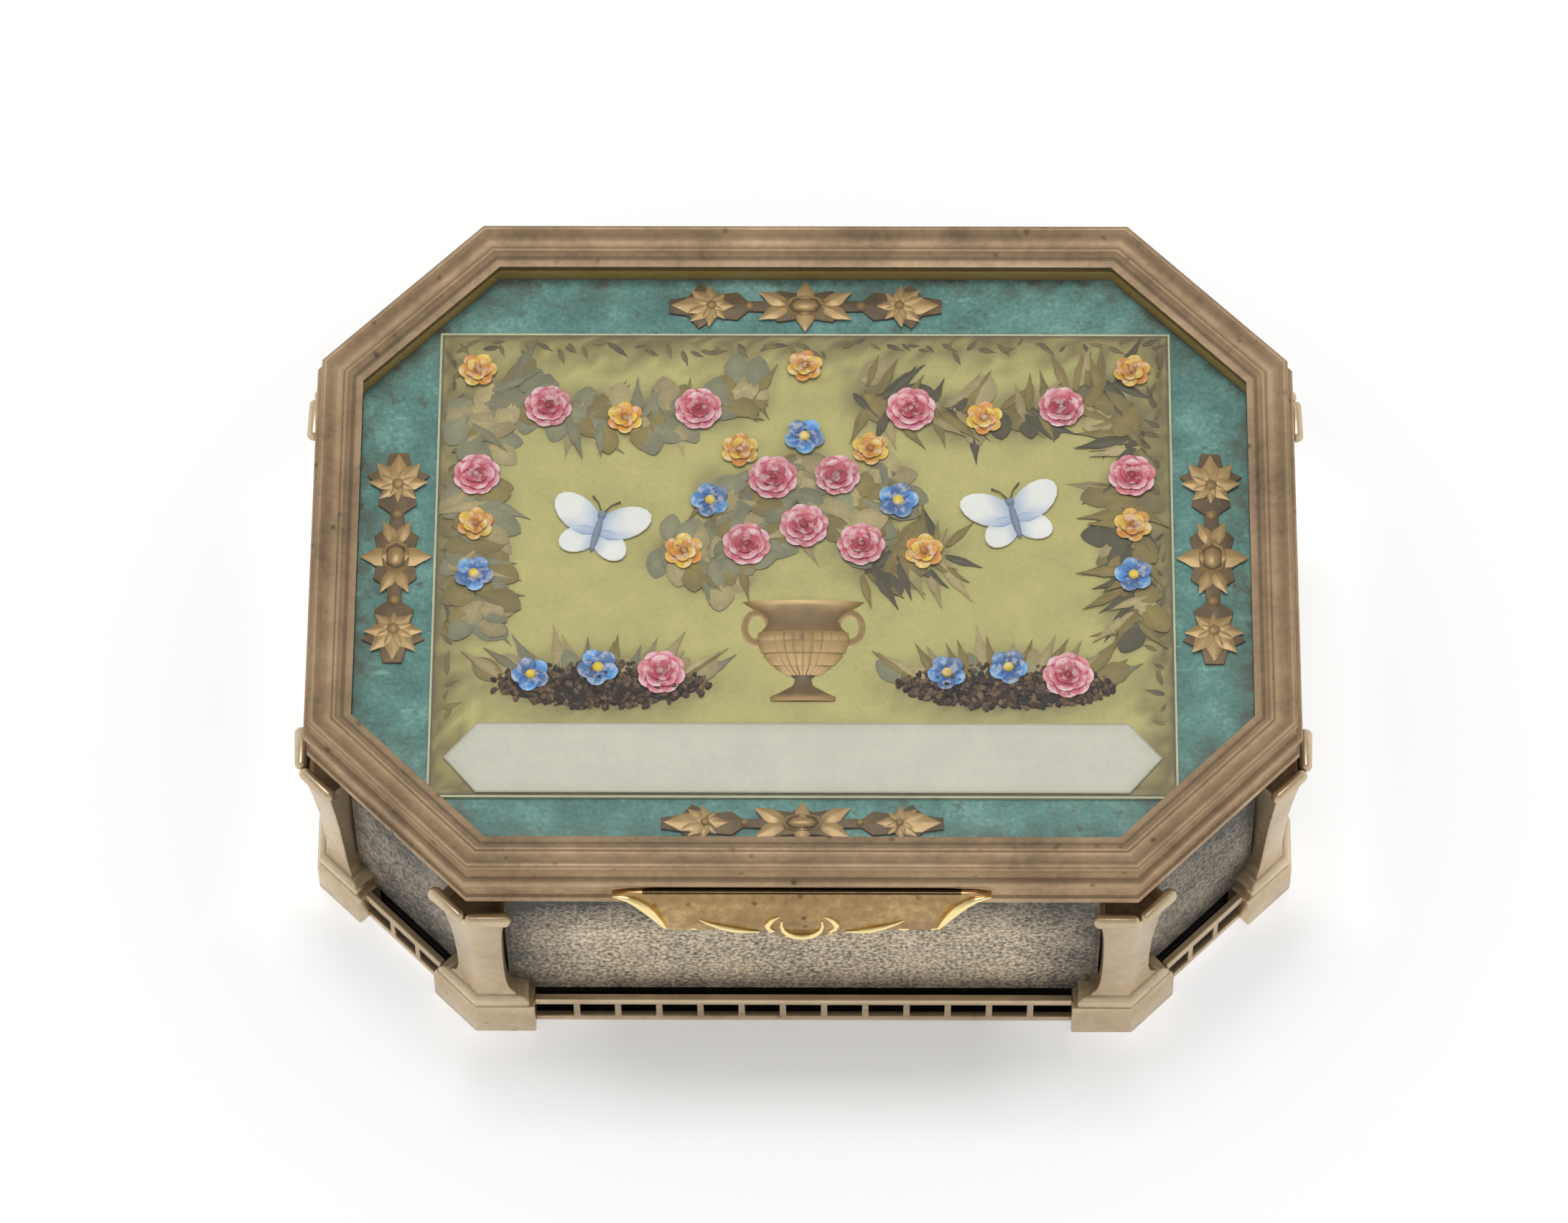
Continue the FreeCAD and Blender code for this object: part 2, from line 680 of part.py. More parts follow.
def thumb_piece():
    """The scrolled lip on the lid's front: a flaring sheet cut to a scalloped lower edge."""
    front = -(s.lid_depth / 2)
    top = seam + s.thumb_top_rise
    bottom = seam - s.thumb_drop
    half = s.thumb_width / 2

    flare = new_body("thumb_flare")
    section = new_sketch(flare, "YZ_Plane", "thumb_flare_section", -half)
    draw(section, [(front, top), (front, seam), (front - s.thumb_reach + s.thumb_sheet, bottom),
                   (front - s.thumb_reach, bottom), (front - s.thumb_sheet, top)],
         {1: s.thumb_curve, 3: -s.thumb_curve})
    pad(flare, section, s.thumb_width, "thumb_flare_pad")

    right = [(half * across, seam + s.thumb_drop * down) for across, down in THUMB_EDGE_SHARES]
    left = [(-x, z) for x, z in reversed(right[1:])]
    tip = len(right) - 1
    bulges = {number: s.thumb_sheet * share for number, share in enumerate(THUMB_BULGE_SHARES)}
    edge_start = len(right) + 2
    for number, share in enumerate(reversed(THUMB_BULGE_SHARES)):
        bulges[edge_start + number] = s.thumb_sheet * share
    shoulder = right[tip - 1][0]
    outline = right + [(shoulder, top), (-shoulder, top)] + left
    shape = new_body("thumb_outline")
    face = new_sketch(shape, "XZ_Plane", "thumb_outline_face", s.lid_depth / 2 - s.thumb_sheet)
    draw(face, outline, bulges)
    pad(shape, face, s.thumb_reach + s.thumb_sheet * 2, "thumb_outline_pad")
    piece = boolean("Part::Common", "thumb_piece", flare, shape)
    piece.Label = "thumb_piece"
    return keep(piece)


def flat_cut(label, outline, bottom, thickness, bulges=None):
    """A flat piece of card or paper cut to an outline."""
    body = new_body(label)
    sketch = new_sketch(body, "XY_Plane", label + "_outline", bottom)
    draw(sketch, outline, bulges)
    pad(body, sketch, thickness, label + "_pad")
    return body


def rectangle(width, depth):
    return mirrored_outline([(1.0, -1.0), (1.0, 1.0)], width, depth)


def field_point(shares):
    """A point in the picture field, from shares of half its width and depth."""
    return card_width / 2 * shares[0], field_depth / 2 * shares[1] + field_middle


def picture_card():
    """The card that carries the collage, its corners trimmed where the mount's cut corners cross them."""
    sheet_of_card = flat_cut("card_sheet", rectangle(card_width, card_depth), mount_top, s.card_thickness)
    place(sheet_of_card, (NOTHING, card_middle), NOTHING, 0)
    trim = flat_cut("card_trim", octagon(mount_offset), mount_top, s.card_thickness)
    card = boolean("Part::Common", "picture_card", sheet_of_card, trim)
    card.Label = "picture_card"
    return keep(card)


def caption_strip():
    """A bare paper strip with pointed ends along the card's front edge."""
    half_width = card_width / 2 - s.strip_end_margin
    shoulder = half_width - s.strip_point
    half = s.strip_depth / 2
    strip = flat_cut("caption_strip",
                     [(-shoulder, -half), (shoulder, -half), (half_width, NOTHING),
                      (shoulder, half), (-shoulder, half), (-half_width, NOTHING)],
                     card_top, s.paper_thickness)
    place(strip, (NOTHING, strip_back - half), NOTHING, 0)
    return keep(strip)


def lid_stack():
    """What the lid's frame holds: glass, the slip under it, the mount, the card and the back plate."""
    octagon_plate("glass_pane", glass_bottom, s.glass_thickness, stack_offset)
    octagon_plate("glass_slip", mount_bottom, glass_bottom - mount_bottom,
                  stack_offset, stack_offset - s.slip_thickness)
    octagon_plate("picture_mount", mount_bottom, s.mount_thickness, mount_offset)
    back_plate_bottom = mount_bottom - s.back_plate_thickness
    octagon_plate("lid_back_plate", back_plate_bottom, s.back_plate_thickness, stack_offset)
    picture_card()
    caption_strip()


def border_ornaments():
    """Four stamped paper ornaments, one in the middle of each side of the mount's border."""
    column = mount_half_width - s.side_border / 2
    places = {"front": ((NOTHING, card_front - s.front_border / 2), 0, s.long_ornament, s.front_border),
              "right": ((column, NOTHING), 90, s.short_ornament, s.side_border),
              "back": ((NOTHING, card_back + s.back_border / 2), 0, s.long_ornament, s.back_border),
              "left": ((-column, NOTHING), 90, s.short_ornament, s.side_border)}
    for side, (point, turn, length, border) in places.items():
        depth = border - s.ornament_margin * 2
        right = [(length / 2 * along, depth / 2 * across) for along, across in ORNAMENT_QUARTER_SHARES]
        upper = right + [(-x, y) for x, y in reversed(right[:-1])]
        outline = upper + [(x, -y) for x, y in reversed(upper)]
        piece = keep(flat_cut(side + "_ornament", outline, mount_top, s.ornament_thickness))
        place(piece, point, NOTHING, turn)


def discs(label, shares, radius):
    """A set of like flowers, each a raised disc over the leaves."""
    members = []
    for number, share in enumerate(shares):
        disc = doc.addObject("Part::Cylinder", "%s_%d" % (label, number))
        bind(disc, "Radius", radius * collage_share)
        bind(disc, "Height", s.flower_relief)
        place(disc, field_point(share), leaf_top, 0)
        members.append(disc)
    return group(label, members)


def oval(name, point, turn, length, width):
    """A thin oval of cut paper on the card, sized with the picture field."""
    curve = doc.addObject("Part::Ellipse", name + "_edge")
    bind(curve, "MajorRadius", length * collage_share / 2)
    bind(curve, "MinorRadius", width * collage_share / 2)
    place(curve, point, card_top, turn)
    solid = doc.addObject("Part::Extrusion", name)
    solid.Base = curve
    solid.DirMode = "Custom"
    solid.Dir = FreeCAD.Vector(0, 0, 1)
    solid.Solid = True
    bind(solid, "LengthFwd", s.leaf_thickness)
    return solid


def foliage():
    """Leaf sprays: two swags along the top, a drop down each side and fronds round the bouquet."""
    sprays = []
    for sign in (-1, 1):
        for number, (share, tilt) in enumerate(zip(SWAG_SHARES, SWAG_TILTS)):
            point = field_point((sign * share[0], share[1]))
            name = "swag_%s_%d" % ("left" if sign < 0 else "right", number)
            sprays.append(oval(name, point, -sign * tilt, s.spray_length, s.spray_width))
        for number, share in enumerate(DROP_SHARES):
            point = field_point((sign * DROP_SIDE_SHARE, share))
            name = "drop_%s_%d" % ("left" if sign < 0 else "right", number)
            sprays.append(oval(name, point, 90, s.spray_length, s.spray_width))
    for number, angle in enumerate(FROND_ANGLES):
        centre = field_point((0, FROND_CENTRE_SHARE))
        ring = s.frond_ring * collage_share
        point = (centre[0] + ring * math.cos(math.radians(angle)),
                 centre[1] + ring * math.sin(math.radians(angle)))
        sprays.append(oval("frond_%d" % number, point, angle, s.frond_length, s.spray_width))
    return group("foliage_sprays", sprays)


def collage():
    """The cut-paper picture on the card: an urn of flowers between mossy mounds, under leafy swags."""
    foliage()
    group("moss_mounds", [oval("mound_%d" % number, field_point(share), 0, s.mound_width, s.mound_depth)
                          for number, share in enumerate(MOUND_SHARES)])
    urn_outline = mirrored_outline(URN_HALF_SHARES, s.urn_width * collage_share,
                                   s.urn_height * collage_share)
    urn = keep(flat_cut("flower_urn", urn_outline, card_top, s.leaf_thickness + s.paper_thickness))
    place(urn, field_point((0, URN_MIDDLE_SHARE)), NOTHING, 0)
    wing_outline = mirrored_outline(BUTTERFLY_HALF_SHARES, s.butterfly_span * collage_share,
                                    s.butterfly_height * collage_share)
    butterflies = []
    for number, share in enumerate(BUTTERFLY_SHARES):
        wings = flat_cut("butterfly_%d" % number, wing_outline, card_top,
                         s.leaf_thickness + s.paper_thickness)
        place(wings, field_point(share), NOTHING, 0)
        butterflies.append(wings)
    group("butterfly_scraps", butterflies)
    discs("rose_scraps", ROSE_SHARES, s.rose_radius)
    discs("blue_flower_scraps", BLUE_SHARES, s.blue_flower_radius)
    discs("yellow_flower_scraps", YELLOW_SHARES, s.yellow_flower_radius)


def check_and_write():
    """Stops on any failed feature or bad solid, then writes each piece to its own file."""
    doc.recompute()
    for item in doc.Objects:
        if "Invalid" in item.State or "Error" in item.State:
            raise RuntimeError("%s failed: %s" % (item.Label, item.State))
    for piece in pieces:
        if piece.Shape.isNull() or not piece.Shape.isValid() or not piece.Shape.Solids:
            raise RuntimeError("%s has no sound solid" % piece.Label)
    os.makedirs("parts", exist_ok=True)
    for piece in pieces:
        piece.Shape.exportStep("parts/%s.step" % piece.Label)
    print(len(pieces), "pieces written")


case_shell()
for index in range(len(SIDES)):
    side_panel(index)
    plinth(index)
    pilaster(index)
    gallery(index)
lid_frame()
lid_stack()
border_ornaments()
collage()
thumb_piece()
hinge()
check_and_write()
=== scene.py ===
import math
import random

import bmesh
import bpy
from bpy.props import FloatProperty, FloatVectorProperty, PointerProperty
from mathutils import Matrix, Vector
from mathutils.bvhtree import BVHTree


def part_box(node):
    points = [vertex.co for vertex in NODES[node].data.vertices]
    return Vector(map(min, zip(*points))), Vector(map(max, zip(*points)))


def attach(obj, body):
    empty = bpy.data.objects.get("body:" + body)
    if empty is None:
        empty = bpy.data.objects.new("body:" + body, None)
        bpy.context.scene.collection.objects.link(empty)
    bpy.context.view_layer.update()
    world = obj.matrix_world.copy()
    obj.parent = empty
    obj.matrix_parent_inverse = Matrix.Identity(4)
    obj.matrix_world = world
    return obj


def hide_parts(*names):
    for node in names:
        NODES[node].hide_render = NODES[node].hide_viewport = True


bl_info = {
    "name": "Keepsake Casket",
    "version": (1, 0, 0),
    "blender": (4, 5, 0),
    "location": "3D View > Sidebar > Casket",
    "description": "Dresses a gilt keepsake casket with a glazed collage lid around its packed frame",
    "category": "Object",
}

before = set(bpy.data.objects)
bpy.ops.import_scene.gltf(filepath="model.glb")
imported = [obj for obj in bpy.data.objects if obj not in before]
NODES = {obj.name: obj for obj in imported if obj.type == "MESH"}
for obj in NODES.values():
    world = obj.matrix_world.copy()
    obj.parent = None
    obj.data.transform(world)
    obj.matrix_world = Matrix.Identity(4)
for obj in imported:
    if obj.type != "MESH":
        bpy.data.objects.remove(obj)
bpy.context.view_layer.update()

MM = 0.001
SIDES = ["front", "front_right_corner", "right", "back_right_corner",
         "back", "back_left_corner", "left", "front_left_corner"]
CORNERS = ["front_left", "front_right", "right_front", "right_back",
           "back_right", "back_left", "left_back", "left_front"]
CORNER_ANGLE = math.radians(45)
WELD = 0.0005 * MM
SEED = 1830


def tone(red, green, blue):
    """A colour in screen steps of 0 to 255, as the linear values that shaders use."""
    def linear(step):
        level = step / 255
        return level / 12.92 if level <= 0.04045 else ((level + 0.055) / 1.055) ** 2.4
    return (linear(red), linear(green), linear(blue), 1.0)


def colour(name, description, default):
    return FloatVectorProperty(name=name, description=description, subtype="COLOR", size=4,
                               min=0.0, max=1.0, default=default)


def length(name, description, millimetres):
    return FloatProperty(name=name, description=description, subtype="DISTANCE", unit="LENGTH",
                         precision=5, min=0.0, default=millimetres * MM)


def share(name, description, default, most=1.0):
    return FloatProperty(name=name, description=description, subtype="FACTOR", min=0.0, max=most, default=default)


class CasketGilding(bpy.types.PropertyGroup):
    """Colours of the gilt metal, each from its tarnish to its rubbed high points."""
    lid_dark: colour("Lid tarnish", "Copper-brown tarnish in the lid's hollows", tone(104, 84, 62))
    lid_mid: colour("Lid gilding", "Main tone of the lid's moulding", tone(184, 154, 118))
    lid_bright: colour("Lid rubbed", "Lid's rubbed ridges", tone(224, 194, 154))
    mount_dark: colour("Mount tarnish", "Tarnish on pilasters, plinths and galleries", tone(112, 86, 56))
    mount_mid: colour("Mount gilding", "Main tone of pilasters, plinths and galleries", tone(190, 168, 137))
    mount_bright: colour("Mount rubbed", "Rubbed edges of pilasters, plinths and galleries", tone(224, 203, 170))
    thumb_dark: colour("Thumb-piece tarnish", "Hollows of the thumb-piece", tone(62, 42, 22))
    thumb_mid: colour("Thumb-piece gilding", "Main tone of the thumb-piece", tone(168, 138, 96))
    # On the thumb-piece's scrolls this tone is rubbed gilding and also a painted highlight
    thumb_bright: colour("Thumb-piece rubbed", "Polished scrolls of the thumb-piece", tone(255, 230, 166))
    inner_dark: colour("Inside tarnish", "Tarnish on the plain inside gilding", tone(112, 86, 48))
    inner_mid: colour("Inside gilding", "Main tone of the inside gilding", tone(184, 152, 98))
    inner_bright: colour("Inside rubbed", "Rubbed edges of the inside gilding", tone(224, 197, 146))
    slip_dark: colour("Slip tarnish", "Tarnish on the slip under the glass", tone(96, 72, 26))
    slip_mid: colour("Slip gilding", "Main tone of the slip under the glass", tone(176, 142, 66))
    # Also the colour of painted shade: behind the galleries, under the lid's bead and on the lid's faces that look up
    soot: colour("Soot", "Dirt in the places that no one can clean", tone(40, 34, 24))
    steel_dark: colour("Pin rust", "Dark spots on the hinge pin", tone(70, 62, 54))
    steel_mid: colour("Pin", "Steel of the hinge pin", tone(140, 134, 126))
    steel_bright: colour("Pin bright", "Worn ends of the hinge pin", tone(196, 192, 186))
    edge_round: length("Edge rounding", "How far sheet edges are rounded over", 0.07)


class CasketPanels(bpy.types.PropertyGroup):
    """The dark matted metal of the sides."""
    dark: colour("Ground", "Oxidised ground of the panels", tone(84, 82, 78))
    mid: colour("Grain", "Grain over most of a panel", tone(206, 191, 167))
    fleck: colour("Flecks", "Gold left on the highest grains", tone(255, 240, 206))
    grain_size: length("Grain size", "Width of one grain of the matting", 0.16)
    grain_depth: length("Grain depth", "Depth of the matting", 0.12)
    cell: length("Mesh cell", "Spacing of the mesh that carries the matting", 0.21)


class CasketCollage(bpy.types.PropertyGroup):
    """Papers and paints of the picture under the glass."""
    teal_deep: colour("Mount shade", "Deeper clouds in the mount's paper", tone(54, 98, 93))
    teal: colour("Mount", "Teal paper of the mount", tone(82, 131, 123))
    teal_rubbed: colour("Mount rubbed", "Rubbed streaks in the mount's paper", tone(122, 164, 156))
    teal_speck: colour("Mount specks", "Brown specks and grime on the mount", tone(62, 62, 42))
    ground: colour("Card", "Olive ground of the card", tone(186, 176, 110))
    ground_edge: colour("Card edge", "Browned edge of the card", tone(112, 96, 52))
    border: colour("Card border", "Pale line round the card", tone(196, 194, 158))
    border_width: length("Border width", "Width of the pale line round the card", 0.16)
    # A painted shadow on the card round the leaf sprays and the moss
    ground_wash: colour("Card wash", "Brown wash behind the leaves", tone(108, 96, 62))
    strip: colour("Strip", "Bare paper strip", tone(206, 202, 188))
    strip_stain: colour("Strip edge", "Browned edge of the strip", tone(158, 148, 124))
    gilt_dark: colour("Gilt paper hollows", "Hollows of the embossed gilt paper", tone(62, 44, 20))
    gilt_mid: colour("Gilt paper", "Embossed gilt paper", tone(104, 79, 42))
    gilt_bright: colour("Gilt paper ridges", "Ridges of the embossed gilt paper", tone(144, 113, 64))
    leaf_grey: colour("Grey leaves", "Grey-green leaves", tone(140, 136, 106))
    leaf_beige: colour("Beige leaves", "Faded leaves", tone(184, 164, 116))
    leaf_olive: colour("Olive leaves", "Olive leaves", tone(140, 120, 62))
    leaf_dark: colour("Dark leaves", "Dark dabs and shaded leaves", tone(78, 70, 46))
    moss_dark: colour("Moss shade", "Darkest crumbs of moss", tone(44, 34, 30))
    moss_light: colour("Moss light", "Palest crumbs of moss", tone(134, 106, 80))
    rose_deep: colour("Rose hearts", "Crimson at a rose's heart", tone(150, 12, 44))
    rose: colour("Roses", "Pink of the roses", tone(208, 78, 112))
    rose_pale: colour("Rose edges", "Pale strokes on the petals", tone(246, 208, 214))
    blue_deep: colour("Blue hearts", "Deep blue by a flower's heart", tone(26, 80, 160))
    blue: colour("Blue flowers", "Blue of the flowers", tone(58, 134, 206))
    blue_pale: colour("Blue edges", "Pale strokes on the blue petals", tone(146, 194, 232))
    blue_heart: colour("Blue flowers' eyes", "Yellow eyes of the blue flowers", tone(240, 206, 62))
    yellow_deep: colour("Yellow hearts", "Ochre at a yellow flower's heart", tone(178, 112, 20))
    yellow: colour("Yellow flowers", "Yellow of the flowers", tone(230, 180, 44))
    yellow_pale: colour("Yellow edges", "Pale strokes on the yellow petals", tone(246, 212, 92))
    white: colour("White scraps", "White of the butterflies", tone(238, 237, 232))
    white_shade: colour("White shade", "Blue-grey shading on the white scraps", tone(160, 178, 210))


class CasketStage(bpy.types.PropertyGroup):
    """Camera, lamps and floor."""
    lens: FloatProperty(name="Lens", description="Focal length on a 36 mm wide frame", unit="CAMERA",
                        default=179.03)
    distance: length("Distance", "Camera to the casket's middle", 726.1)
    height: length("Aim height", "Height of the point that the camera looks at", 15.0)
    elevation: FloatProperty(name="Elevation", description="Camera above the horizon", subtype="ANGLE",
                             default=math.radians(61.163))
    yaw: FloatProperty(name="Yaw", description="Camera's turn to the side", subtype="ANGLE",
                       default=math.radians(-1.168))
    roll: FloatProperty(name="Roll", description="Camera's turn about its own axis", subtype="ANGLE",
                        default=math.radians(-0.916))
    shift_across: FloatProperty(name="Across", description="Camera's slide to the side", unit="LENGTH",
                                default=1.917 * MM)
    shift_up: FloatProperty(name="Up", description="Camera's slide up", unit="LENGTH", default=-1.597 * MM)
    dome_low: share("Dome at the horizon", "Brightness of the white surround at the horizon", 1.0, 2.0)
    dome_high: share("Dome overhead", "Brightness of the white surround overhead", 0.42, 2.0)
    dome_fill: share("Dome's light", "Light that the white surround gives to matt surfaces", 0.59, 2.0)
    key_power: FloatProperty(name="Key lamp", description="Soft lamp behind and above", unit="POWER", default=3.7)
    floor_white: colour("Floor", "Colour of the pale floor", (0.84, 0.84, 0.84, 1.0))
    # A painted shadow: the floor under the case gets this dark colour
    floor_dark: colour("Floor under the casket", "Floor in the dark under the case", tone(34, 30, 25))
    floor_lift: share("Floor lift", "What is added to the floor's colour where it is seen", 0.26)
    floor_ends: share("Floor beside the casket", "What is added beside the casket, where its shadow is lifted", 0.42)


class CasketSettings(bpy.types.PropertyGroup):
    """All that a user would change."""
    gilding: PointerProperty(type=CasketGilding)
    panels: PointerProperty(type=CasketPanels)
    collage: PointerProperty(type=CasketCollage)
    stage: PointerProperty(type=CasketStage)


def settings():
    return bpy.context.scene.casket


# Selecting and shaping

def start_clean():
    """Object mode with nothing selected."""
    if bpy.context.object is not None and bpy.context.object.mode != "OBJECT":
        bpy.ops.object.mode_set(mode="OBJECT")
    bpy.ops.object.select_all(action="DESELECT")


def only(piece):
    start_clean()
    piece.select_set(True)
    bpy.context.view_layer.objects.active = piece


def edit(piece):
    only(piece)
    bpy.ops.object.mode_set(mode="EDIT")
    bpy.ops.mesh.select_mode(type="FACE")


def leave():
    bpy.ops.object.mode_set(mode="OBJECT")


def pick_all():
    bpy.ops.mesh.select_all(action="SELECT")


def pick(piece, kind, test):
    """Selects the vertices, edges or faces of the mesh in edit mode that pass a test."""
    bpy.ops.mesh.select_mode(type=kind)
    bpy.ops.mesh.select_all(action="DESELECT")
    mesh = bmesh.from_edit_mesh(piece.data)
    for element in {"VERT": mesh.verts, "EDGE": mesh.edges, "FACE": mesh.faces}[kind]:
        if test(element):
            element.select_set(True)
    mesh.select_flush_mode()
    bmesh.update_edit_mesh(piece.data)


def move(x=0.0, y=0.0, z=0.0):
    bpy.ops.transform.translate(value=(x, y, z))


def resize(x=1.0, y=1.0, z=1.0, centre=(0.0, 0.0, 0.0)):
    bpy.ops.transform.resize(value=(x, y, z), center_override=centre)


def extrude(x=0.0, y=0.0, z=0.0):
    bpy.ops.mesh.extrude_region_move(TRANSFORM_OT_translate={"value": (x, y, z)})


def cut(place, normal, **values):
    """Cuts the whole mesh in edit mode by a plane."""
    pick_all()
    bpy.ops.mesh.bisect(plane_co=place, plane_no=normal, **values)


def face_outward():
    """Turns all faces of the mesh in edit mode outward."""
    pick_all()
    bpy.ops.mesh.normals_make_consistent(inside=False)


def close_rim(piece):
    """Fills the open rim of the mesh in edit mode with one face."""
    pick(piece, "EDGE", lambda edge: edge.is_boundary)
    bpy.ops.mesh.edge_face_add()


def close_back(piece, x=0.0, y=0.0, z=0.0):
    """Draws the rim of the sheet in edit mode back and closes it behind."""
    pick(piece, "EDGE", lambda edge: edge.is_boundary)
    extrude(x, y, z)
    close_rim(piece)
    face_outward()


def new_piece(name):
    """Names the primitive that was just added."""
    piece = bpy.context.object
    piece.name = name
    piece.data.name = name
    return piece


def join(parts, name):
    start_clean()
    for part in parts:
        part.select_set(True)
    bpy.context.view_layer.objects.active = parts[0]
    bpy.ops.object.join()
    return new_piece(name)


def stamp(template, place):
    """A copy of a modelled shape, with its own mesh moved by a matrix."""
    piece = template.copy()
    piece.data = template.data.copy()
    piece.data.transform(place)
    bpy.context.scene.collection.objects.link(piece)
    return piece


def discard(*pieces):
    for piece in pieces:
        bpy.data.objects.remove(piece)


def apply(piece, kind, **values):
    """Adds a modifier and applies it."""
    only(piece)
    modifier = piece.modifiers.new(kind.lower(), kind)
    for name, value in values.items():
        setattr(modifier, name, value)
    bpy.ops.object.modifier_apply(modifier=modifier.name)


def merge(piece):
    """Merges doubles and turns the faces outward."""
    edit(piece)
    pick_all()
    bpy.ops.mesh.remove_doubles(threshold=WELD)
    face_outward()
    leave()


def bevel(piece, width, segments, sharper_than):
    """Rounds over the edges that are sharper than an angle in degrees."""
    apply(piece, "BEVEL", width=width, segments=segments, limit_method="ANGLE",
          angle_limit=math.radians(sharper_than))


def soften(piece, width, segments=2):
    """Rounds sheet edges over and smooths the faces between them."""
    bevel(piece, width, segments, sharper_than=35.0)
    smooth(piece)


def smooth(piece, angle=40.0):
    only(piece)
    bpy.ops.object.shade_smooth_by_angle(angle=math.radians(angle))


def node_copy(node, name):
    """A copy of a CAD node's mesh, with its loose triangles merged into whole faces."""
    start_clean()
    piece = bpy.data.objects.new(name, NODES[node].data.copy())
    bpy.context.scene.collection.objects.link(piece)
    piece.data.materials.clear()
    edit(piece)
    bpy.ops.mesh.customdata_custom_splitnormals_clear()
    pick_all()
    bpy.ops.mesh.remove_doubles(threshold=WELD)
    bpy.ops.mesh.dissolve_limited(angle_limit=math.radians(0.5))
    leave()
    return piece


def limit(value):
    """A value held between 0 and 1."""
    return min(1.0, max(0.0, value))


def store(piece, name, domain, values):
    """Keeps one number for each point or face of a mesh, for its finish to read."""
    piece.data.attributes.new(name, "FLOAT", domain).data.foreach_set("value", values)


def mark_hollows(piece, gain=1.6, blur=1, level=0.5):
    """Stores how far each point stands out (towards 1) or lies in a hollow (towards 0)."""
    mesh = bmesh.new()
    mesh.from_mesh(piece.data)
    values = []
    for vert in mesh.verts:
        bends = [edge.calc_face_angle_signed(0.0) for edge in vert.link_edges if edge.is_manifold]
        values.append(level + gain * sum(bends) / (math.pi * max(len(bends), 1)))
    for _ in range(blur):
        around = []
        for vert in mesh.verts:
            near = [values[edge.other_vert(vert).index] for edge in vert.link_edges]
            around.append(0.6 * values[vert.index] + 0.4 * sum(near) / max(len(near), 1))
        values = around
    mesh.free()
    store(piece, "hollow", "POINT", [limit(value) for value in values])


def finish_piece(piece, body, slot, material, *nodes):
    """Gives a piece its finish and its body, and hides the CAD nodes it stands for; its slot is not used."""
    piece.data.materials.clear()
    piece.data.materials.append(material)
    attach(piece, body)
    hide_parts(*nodes)


def dress_node(node, material):
    """A better finish on a CAD node whose shape is right as it is."""
    NODES[node].data.materials.clear()
    NODES[node].data.materials.append(material)


def wall_corners():
    """The eight outer corners of the case wall, from the front left round by the right."""
    points = [vert.co for vert in NODES["case_wall"].data.vertices]
    low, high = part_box("case_wall")
    short_width = max(point.x for point in points if point.y < low.y + WELD)
    short_depth = max(point.y for point in points if point.x > high.x - WELD)
    return [Vector(corner) for corner in (
        (-short_width, low.y, 0), (short_width, low.y, 0), (high.x, -short_depth, 0), (high.x, short_depth, 0),
        (short_width, high.y, 0), (-short_width, high.y, 0), (low.x, short_depth, 0), (low.x, -short_depth, 0))]


def turned_box(node, turn):
    """Lowest and highest corner of a CAD node seen in a frame turned about the vertical."""
    back = Matrix.Rotation(-turn, 3, "Z")
    points = [back @ vert.co for vert in NODES[node].data.vertices]
    return (Vector([min(point[axis] for point in points) for axis in range(3)]),
            Vector([max(point[axis] for point in points) for axis in range(3)]))


def between(first, second, factor):
    """A colour part of the way from one to another."""
    factor = limit(factor)
    return tuple(a + (b - a) * factor for a, b in zip(first, second))


def paint(piece, choose):
    """Stores a colour at each point, chosen from where the point is."""
    if "tint" not in piece.data.attributes:
        piece.data.attributes.new("tint", "FLOAT_COLOR", "POINT")
    values = [level for vert in piece.data.vertices for level in choose(vert.co)]
    piece.data.attributes["tint"].data.foreach_set("color", values)


def dye(piece, tint):
    """Multiplies the stored colours."""
    layer = piece.data.attributes["tint"].data
    values = [0.0] * (4 * len(layer))
    layer.foreach_get("color", values)
    layer.foreach_set("color", [value * tint[number % 4] for number, value in enumerate(values)])


def solids_of(node):
    """Middle, long axis' angle, half length and half width of each solid in a flat CAD node."""
    mesh = bmesh.new()
    mesh.from_mesh(NODES[node].data)
    bmesh.ops.remove_doubles(mesh, verts=mesh.verts, dist=WELD)
    found, done = [], set()
    for start in mesh.verts:
        if start in done:
            continue
        group = [start]
        done.add(start)
        for vert in group:
            for edge in vert.link_edges:
                other = edge.other_vert(vert)
                if other not in done:
                    done.add(other)
                    group.append(other)
        points = [vert.co.xy for vert in group]
        low = Vector([min(point[axis] for point in points) for axis in range(2)])
        high = Vector([max(point[axis] for point in points) for axis in range(2)])
        middle = (low + high) / 2
        spread = [point - middle for point in points]
        angle = 0.5 * math.atan2(2 * sum(p.x * p.y for p in spread), sum(p.x * p.x - p.y * p.y for p in spread))
        along = Vector((math.cos(angle), math.sin(angle)))
        half_length = max(abs(p.dot(along)) for p in spread)
        half_width = max(abs(p.x * along.y - p.y * along.x) for p in spread)
        found.append((middle, angle, half_length, half_width))
    mesh.free()
    return found


def on_solid(middle, angle, along, across):
    """The place that lies so far along and across a solid from its middle."""
    return (middle.x + along * math.cos(angle) - across * math.sin(angle),
            middle.y + along * math.sin(angle) + across * math.cos(angle))


def dish(name, sides, rings):
    """A round sheet of radius 1, drawn in by rings of (inset, rise)."""
    start_clean()
    bpy.ops.mesh.primitive_circle_add(vertices=sides, radius=1.0, fill_type="NGON")
    piece = new_piece(name)
    edit(piece)
    pick_all()
    for step, rise in rings:
        bpy.ops.mesh.inset(thickness=step)
        move(z=rise)
    leave()
    return piece


